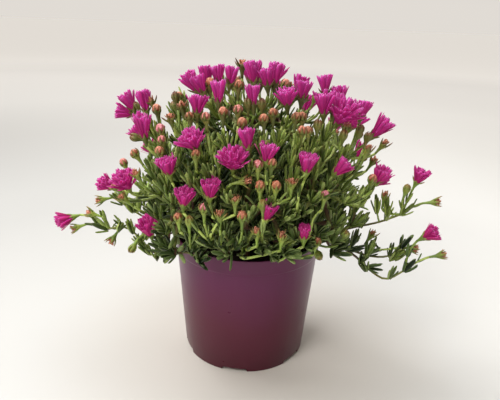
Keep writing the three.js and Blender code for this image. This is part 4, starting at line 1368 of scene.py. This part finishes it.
def pot_skin():
    """Plum plastic with a trace of dust, darker and redder towards the foot as painted shade."""
    skin = Skin("plum_plastic", 0.36, 0.4)
    parts = skin.nodes.new("ShaderNodeSeparateXYZ")
    skin.links.new(skin.place(), parts.inputs["Vector"])
    height = skin.times(parts.outputs["Z"], 1000 / POT.height)
    # painted shade low down and painted light near the rim: darker and redder at the foot, lighter and
    # more purple at the top
    colour = skin.ramp(
        skin.plus(height, skin.times(skin.noise(16), 0.35)), (0.15, (0.058, 0.003, 0.012)),
        (0.55, (0.081, 0.005, 0.023)), (0.95, (0.097, 0.006, 0.052)),
    )
    dust = skin.ramp(skin.noise(620, 5, roughness=0.7), (0.62, 0), (0.76, 0.12))
    skin.paint(skin.mix(dust, colour, (0.2, 0.14, 0.14)))
    skin.links.new(skin.ramp(skin.noise(40, 4), (0, 0.22), (1, 0.4)), skin.inputs["Roughness"])
    skin.bump(skin.noise(900), 0.05, 0.0002)
    return skin


def soil_skin():
    skin = Skin("peat", 0.92, 0.2)
    grain = skin.noise(700, 6, roughness=0.7)
    skin.paint(skin.ramp(
        grain, (0.3, (0.006, 0.004, 0.003)), (0.55, (0.022, 0.014, 0.01)), (0.75, (0.06, 0.04, 0.026)),
    ))
    skin.bump(grain, 0.9, 0.0012)
    return skin


def floor_skin():
    """A white floor kept even under the key light by painted shade, and light far behind the plant by a
    painted glow.
    """
    skin = Skin("pale_floor", 0.75, 0.15)
    away = skin.nodes.new("ShaderNodeVectorMath")
    away.operation = "LENGTH"
    lamp = skin.nodes.new("ShaderNodeVectorMath")
    lamp.operation = "DISTANCE"
    lamp.inputs[1].default_value = (-0.95, 0.6, 0)
    for node in (away, lamp):
        skin.links.new(skin.place(), node.inputs[0])
    # painted warm shade round the pot; further out the colour falls as the painted glow takes over
    ring = skin.ramp(
        skin.times(away.outputs["Value"], 0.3), (0, (0.6, 0.548, 0.492)), (0.03, (0.6, 0.573, 0.53)),
        (0.055, (0.602, 0.596, 0.573)), (0.15, (0.602, 0.596, 0.573)), (0.27, (0.5, 0.49, 0.465)),
        (0.45, (0.4, 0.39, 0.37)), (0.6, (0.32, 0.311, 0.295)), (0.72, (0.34, 0.331, 0.315)),
        (0.9, (0.54, 0.525, 0.5)),
    )
    # painted shade where the key light pools, so that the floor looks even
    evened = skin.ramp(skin.times(lamp.outputs["Value"], 0.5), (0, 0.36), (0.67, 1.1))
    skin.paint(skin.tint(ring, evened))
    # painted light: a glow that keeps the floor light far behind the plant
    skin.glow(skin.ramp(
        skin.times(away.outputs["Value"], 0.5), (0.2, 0), (0.7, (0.415, 0.398, 0.372)),
        (1, (0.555, 0.53, 0.497)),
    ))
    return skin


# Pot and soil

def pot_side(z):
    return POT.foot + (POT.rim - POT.step - POT.foot) * z / POT.height


def pot_profile():
    """The pot's outline from inside its foot ring over the rim to its base, as radius and height."""
    foot, rim, wall, step, top = POT.foot, POT.rim, POT.wall, POT.step, POT.height
    collar = top - POT.collar
    under, inside = pot_side(collar), foot - POT.foot_wall
    profile = [(inside, POT.base_rise), (inside, 0.25), (inside + 0.25, 0.0)]
    profile += [(foot - 0.3, 0.0), (foot, 0.35)]
    profile += [(pot_side(collar * i / 12), collar * i / 12) for i in range(1, 12)]
    profile += [
        (under - 0.02, collar - 0.6), (under + 0.05, collar - 0.1), (under + step - 0.1, collar + 0.45),
        (under + step, collar + 1.0),
    ]
    for i in range(1, 5):
        profile.append((between(under + step, rim, i / 5), collar + 1.0 + (top - collar - 1.6) * i / 5))
    profile += [
        (rim - 0.05, top - 0.6), (rim - 0.15, top - 0.15), (rim - 0.45, top), (rim - wall + 0.15, top),
        (rim - wall, top - 0.3), (under + step - wall, collar), (under - wall, collar - 1.0),
    ]
    for i in range(1, 6):
        z = between(collar - 1.0, POT.base_rise + POT.base, i / 5)
        profile.append((pot_side(z) - wall, z))
    return profile


def pot_columns():
    """The angles round the pot at which its wall has points, each with the notch's height there."""
    half, ease = degrees(NOTCHES.width / 2 / POT.foot), NOTCHES.ease
    middles = [NOTCHES.first + 360 * i / NOTCHES.count for i in range(NOTCHES.count)]
    angles = {i * 3.0 for i in range(120)}
    for middle in middles:
        for edge in (-half, half):
            for side in (-ease / 2, ease / 2):
                angles.add((middle % 360 + (edge + side)) % 360)
    columns = []
    for angle in sorted(angles):
        away = min(abs((angle - middle + 180) % 360 - 180) for middle in middles)
        columns.append((radians(angle), NOTCHES.height * clamp((half + ease / 2 - away) / ease)))
    return columns


def pot_mesh():
    """The turned pot, closed at its base by an outer and an inner plate."""
    profile, columns = pot_profile(), pot_columns()
    rows, count = len(profile), len(columns)
    mesh = bpy.data.meshes.new("nursery_pot")
    points, faces = [], []
    for c, (angle, lift) in enumerate(columns):
        n = (c + 1) % count
        for r, (radius, z) in enumerate(profile):
            on_foot = 1 <= r <= 4
            height = z + lift if on_foot else z
            points.append(tuple(Vector((radius * cos(angle), radius * sin(angle), height)) * MM))
        for r in range(rows - 1):
            faces.append((c * rows + r, n * rows + r, n * rows + r + 1, c * rows + r + 1))
    mesh.from_pydata(points, [], faces)
    work = bmesh.new()
    work.from_mesh(mesh)
    work.verts.ensure_lookup_table()
    for row, order in ((0, -1), (rows - 1, 1)):
        work.faces.new([work.verts[c * rows + row] for c in range(count)][::order])
    bmesh.ops.recalc_face_normals(work, faces=work.faces)
    work.to_mesh(mesh)
    work.free()
    return mesh


def build_pot():
    """The pot with its drain holes cut through the base."""
    mesh = pot_mesh()
    mesh.materials.append(pot_skin().owner)
    pot = stand("nursery_pot", mesh)
    cutters = []
    for i in range(DRAINS.count):
        turn = radians(DRAINS.first + 360 * i / DRAINS.count)
        x, y = DRAINS.ring * cos(turn), DRAINS.ring * sin(turn)
        bpy.ops.mesh.primitive_cylinder_add(
            vertices=DRAINS.sides, radius=DRAINS.radius * MM, depth=DRAINS.deep * MM,
            location=(x * MM, y * MM, DRAINS.z * MM),
        )
        cutters.append(bpy.context.object)
    for cutter in cutters:
        cut = pot.modifiers.new("drain", "BOOLEAN")
        cut.operation, cut.object, cut.solver = "DIFFERENCE", cutter, "EXACT"
    bpy.context.view_layer.update()
    finished = bpy.data.meshes.new_from_object(pot.evaluated_get(bpy.context.evaluated_depsgraph_get()))
    pot.modifiers.clear()
    pot.data = finished
    for cutter in cutters:
        bpy.data.objects.remove(cutter)
    finished.polygons.foreach_set("use_smooth", [True] * len(finished.polygons))
    finished.set_sharp_from_angle(angle=radians(32))
    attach(pot, "root")
    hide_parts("pot")


def soil_body(inner):
    """The points and faces of a round body with a rough top."""
    sides, rings = SOIL.sides, SOIL.rings
    floor = POT.base_rise + POT.base + SOIL.gap
    low = pot_side(floor) - POT.wall - SOIL.gap
    turns = [TURN * k / sides for k in range(sides)]
    points = [(0.0, 0.0, floor)]
    for radius, z in ((low, floor), (between(low, inner, 0.5), between(floor, SOIL.edge, 0.5))):
        points += [(radius * cos(turn), radius * sin(turn), z) for turn in turns]
    for r in range(rings, 0, -1):
        radius = inner * r / rings
        for turn in turns:
            x, y = radius * cos(turn), radius * sin(turn)
            rough = noise.fractal(Vector((x, y, 0)) * SOIL.grain, 1.0, 2.0, 4) * SOIL.rough - SOIL.sunk
            points.append((x, y, soil_height(radius) + clamp(rough, *SOIL.bounds)))
    points.append((0.0, 0.0, SOIL.crown - SOIL.middle))
    faces = [(0, 1 + (k + 1) % sides, 1 + k) for k in range(sides)]
    for r in range(rings + 1):
        a, b = 1 + r * sides, 1 + (r + 1) * sides
        for k in range(sides):
            n = (k + 1) % sides
            faces.append((a + k, a + n, b + n, b + k))
    top = 1 + (rings + 1) * sides
    faces += [(top + k, top + (k + 1) % sides, len(points) - 1) for k in range(sides)]
    return points, faces


def build_soil():
    """Crumbly peat: the body, and loose crumbs on it."""
    heap = Heap("potting_soil", soil_skin().owner)
    inner = pot_side(SOIL.edge) - POT.wall - SOIL.gap
    heap.add(*soil_body(inner), 0.0, 0.5, 0.0)
    chance = random.Random(17)
    for i in range(CRUMBS.count):
        radius = (inner - CRUMBS.inside) * sqrt((i + 0.5) / CRUMBS.count)
        turn = TURN * GOLDEN * i
        size = between(*CRUMBS.size, chance.random() ** 2)
        height = soil_height(radius) - CRUMBS.sunk
        centre = Vector((radius * cos(turn), radius * sin(turn), height))
        lump = []
        for z, width in CRUMBS.rings:
            for k in range(CRUMBS.sides):
                wide = size * width * chance.uniform(*CRUMBS.uneven)
                angle = TURN * k / CRUMBS.sides + turn
                lump.append(centre + Vector((wide * cos(angle), wide * sin(angle), z * size)))
        heap.add_rings(lump, CRUMBS.sides, 0.0, chance.random(), 0.0)
    heap.piece("potting_soil", "soil")


# The plant

def grown_plants():
    """The plant of each sector, with the branches that the measured tips call for."""
    tips = [flower_tip(row) for row in FLOWERS]
    tips += [bud_tip(*row) for row in BUDS]
    tips += [shoot_tip(row) for row in SHOOTS]
    tips += back_tips()
    grown = {}
    for sector in (*SECTORS, "top"):
        grown[sector] = Plant(sector, [tip for tip in tips if sector_of(tip.stalk_end()) == sector])
    for runner in RUNNERS:
        plant = grown[sector_of(at_depth(*runner.fork, runner.depth))]
        plant.branches.append(runner_branch(runner, plant.fork))
    return grown


def add_more(tip, most):
    """Hangs one more tip on the nearest branch of its sector by a stalk or a short shoot."""
    foot = tip.stalk_end()
    plant = plants[sector_of(foot)]
    best = None
    for branch in plant.branches:
        if branch.kind == "runner":
            continue
        line = branch.line
        for point in line[len(line) // 4:]:
            way = foot - point
            gap = way.length + HANG.bend * (1 - way.normalized().dot(tip.axis))
            gap += 0 if way.length > HANG.near else HANG.short
            if best is None or gap < best[0]:
                best = (gap, point)
    if best is None or best[0] > most:
        return
    if tip.kind != "shoot":
        plant.loose.append((best[1], tip))
        return
    line = branch_line(best[1], foot)
    if all_clear(line, HANG.room):
        plant.branches.append(Branch([tip], line, "slim"))


def bloom_of(tip):
    """The solid of the flower whose box holds this tip's middle, or is nearest to it."""
    middle = (tip.foot + tip.axis * (tip.length * 0.5)) * MM

    def away(name):
        low, high = bloom_boxes[name]
        outside = sum(max(low[k] - middle[k], 0, middle[k] - high[k]) ** 2 for k in range(3))
        return outside, ((low + high) / 2 - middle).length
    return min(bloom_boxes, key=away)


def grow_head(stems, leaves, start, tip, branches, chance):
    """A stalk with its cup, and the head of a bud."""
    stalk(stems, leaves, start, tip, branches, chance)
    look = look_of(tip, chance)
    cup(stems, tip, look, chance)
    if tip.kind == "bud":
        bud_crown(stems, tip, look, chance)


def grow_branch(stems, leaves, brush, branch, branches, chance):
    """A branch with its leaves and tips. Returns the nodes of its flowers."""
    line, runner = branch.line, branch.kind == "runner"
    radii = tapered(*BRANCH_RADII[branch.kind], line)
    tube(stems, line, radii, chance.random(), 0.0 if runner else 0.5, BARK, 8)
    if runner:
        runner_leaves(stems, leaves, branch, chance)
    else:
        leafy_line(leaves, line, chance)
    end = line[-1]
    nodes = set()
    for tip in branch.tips:
        if tip.kind == "shoot":
            end_tuft(leaves, line, tip.axis, SHOOT_TUFT, chance)
            continue
        grow_head(stems, leaves, end, tip, branches, chance)
        if tip.kind == "flower":
            petals(brush, tip, chance)
            nodes.add(bloom_of(tip))
    if branch.tips[0].kind != "shoot":
        end_tuft(leaves, line, UP, END_TUFT, chance)
    return nodes


def build_plant(sector, plant, chance):
    """The stems, leaves and petals of one sector, as a piece each."""
    stems = Heap(f"stems_{sector}", *(skins[name] for name in SKINS))
    leaves = Heap(f"leaves_{sector}", skins["leaf"])
    brush = Heap(f"petals_{sector}", skins["petal"])
    base = bow(plant.root - UP * ROOT_DEEP, plant.root, plant.fork + UP * PAST_FORK, len(ROOT_RADII))
    tube(stems, base, ROOT_RADII, 0.5, 0.0, BARK, 9)
    nodes = set()
    for branch in plant.branches:
        nodes |= grow_branch(stems, leaves, brush, branch, plant.branches, chance)
    for line in twigs[sector]:
        twig(stems, leaves, line, chance)
    for start, tip in plant.loose:
        grow_head(stems, leaves, start, tip, plant.branches, chance)
    stems.piece("leaves_and_stems", f"stem_{sector}")
    leaves.piece("leaves_and_stems", f"stem_{sector}")
    if brush.count:
        for name in nodes:
            claimed.setdefault(name, sector)
        brush.piece("petals", *sorted(name for name in nodes if claimed[name] == sector))


skins = {
    "bark": bark_skin().owner,
    "stalk": stalk_skin().owner,
    "lobe": lobe_skin().owner,
    "bud": bud_skin().owner,
    "cup": cup_skin().owner,
    "leaf": leaf_skin().owner,
    "petal": petal_skin().owner,
}
build_pot()
build_soil()

plants = grown_plants()
for row in MORE_SHOOTS:
    tip = shoot_tip(row)
    tip.foot -= tip.axis * SHOOT.deeper
    add_more(tip, HANG.shoot)
for row in MORE_BUDS:
    add_more(bud_tip(*row), HANG.bud)
for tip in back_buds():
    add_more(tip, HANG.back_bud)

twigs = fill_twigs()
bloom_boxes = {name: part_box(name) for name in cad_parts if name.startswith("bloom_")}
claimed = {}
for order, (sector, plant) in enumerate(plants.items()):
    build_plant(sector, plant, random.Random(100 + order))

# Camera, floor and light

camera_data = bpy.data.cameras.new("camera")
camera_data.sensor_width = SENSOR
camera_data.lens = SENSOR * VIEW.focal / (2 * CENTRE[0])
camera = stand("camera", camera_data)
rotation = Matrix((view_right, view_up, -forward)).transposed().to_4x4()
camera.matrix_world = Matrix.Translation(eye * MM) @ rotation
bpy.context.scene.camera = camera

bpy.ops.mesh.primitive_plane_add(size=60, location=(0, 0, -0.0002))
floor = bpy.context.object
floor.name = "floor"
floor.data.materials.append(floor_skin().owner)

world = bpy.data.worlds.new("studio")
sky = Shading(world)
parts = sky.nodes.new("ShaderNodeSeparateXYZ")
sky.links.new(sky.nodes.new("ShaderNodeTexCoord").outputs["Generated"], parts.inputs["Vector"])
above = sky.ramp(
    parts.outputs["Z"], (0.04, (0.75, 0.71, 0.66)), (0.35, (0.39, 0.36, 0.32)),
    (0.8, (0.25, 0.232, 0.21)),
)
sky.links.new(above, sky.nodes["Background"].inputs["Color"])
bpy.context.scene.world = world


def softbox(name, at, size, power, colour=(1, 1, 1)):
    """A square light that faces the plant."""
    data = bpy.data.lights.new(name, "AREA")
    data.shape = "RECTANGLE"
    data.size = data.size_y = size
    data.energy = power
    data.color = colour
    lamp = stand(name, data)
    lamp.location = at
    aim = Vector((0, 0, 0.12)) - Vector(at)
    lamp.rotation_euler = aim.to_track_quat("-Z", "Y").to_euler()


softbox("key", (-0.95, 0.5, 1.6), 1.3, 37.5, (0.985, 0.99, 1.0))
softbox("fill", (-0.6, -0.8, 1.0), 0.6, 11.5, (1.0, 0.99, 0.97))
softbox("top", (0.35, 0.25, 1.4), 0.8, 8)
bpy.context.scene.view_settings.view_transform = "Standard"
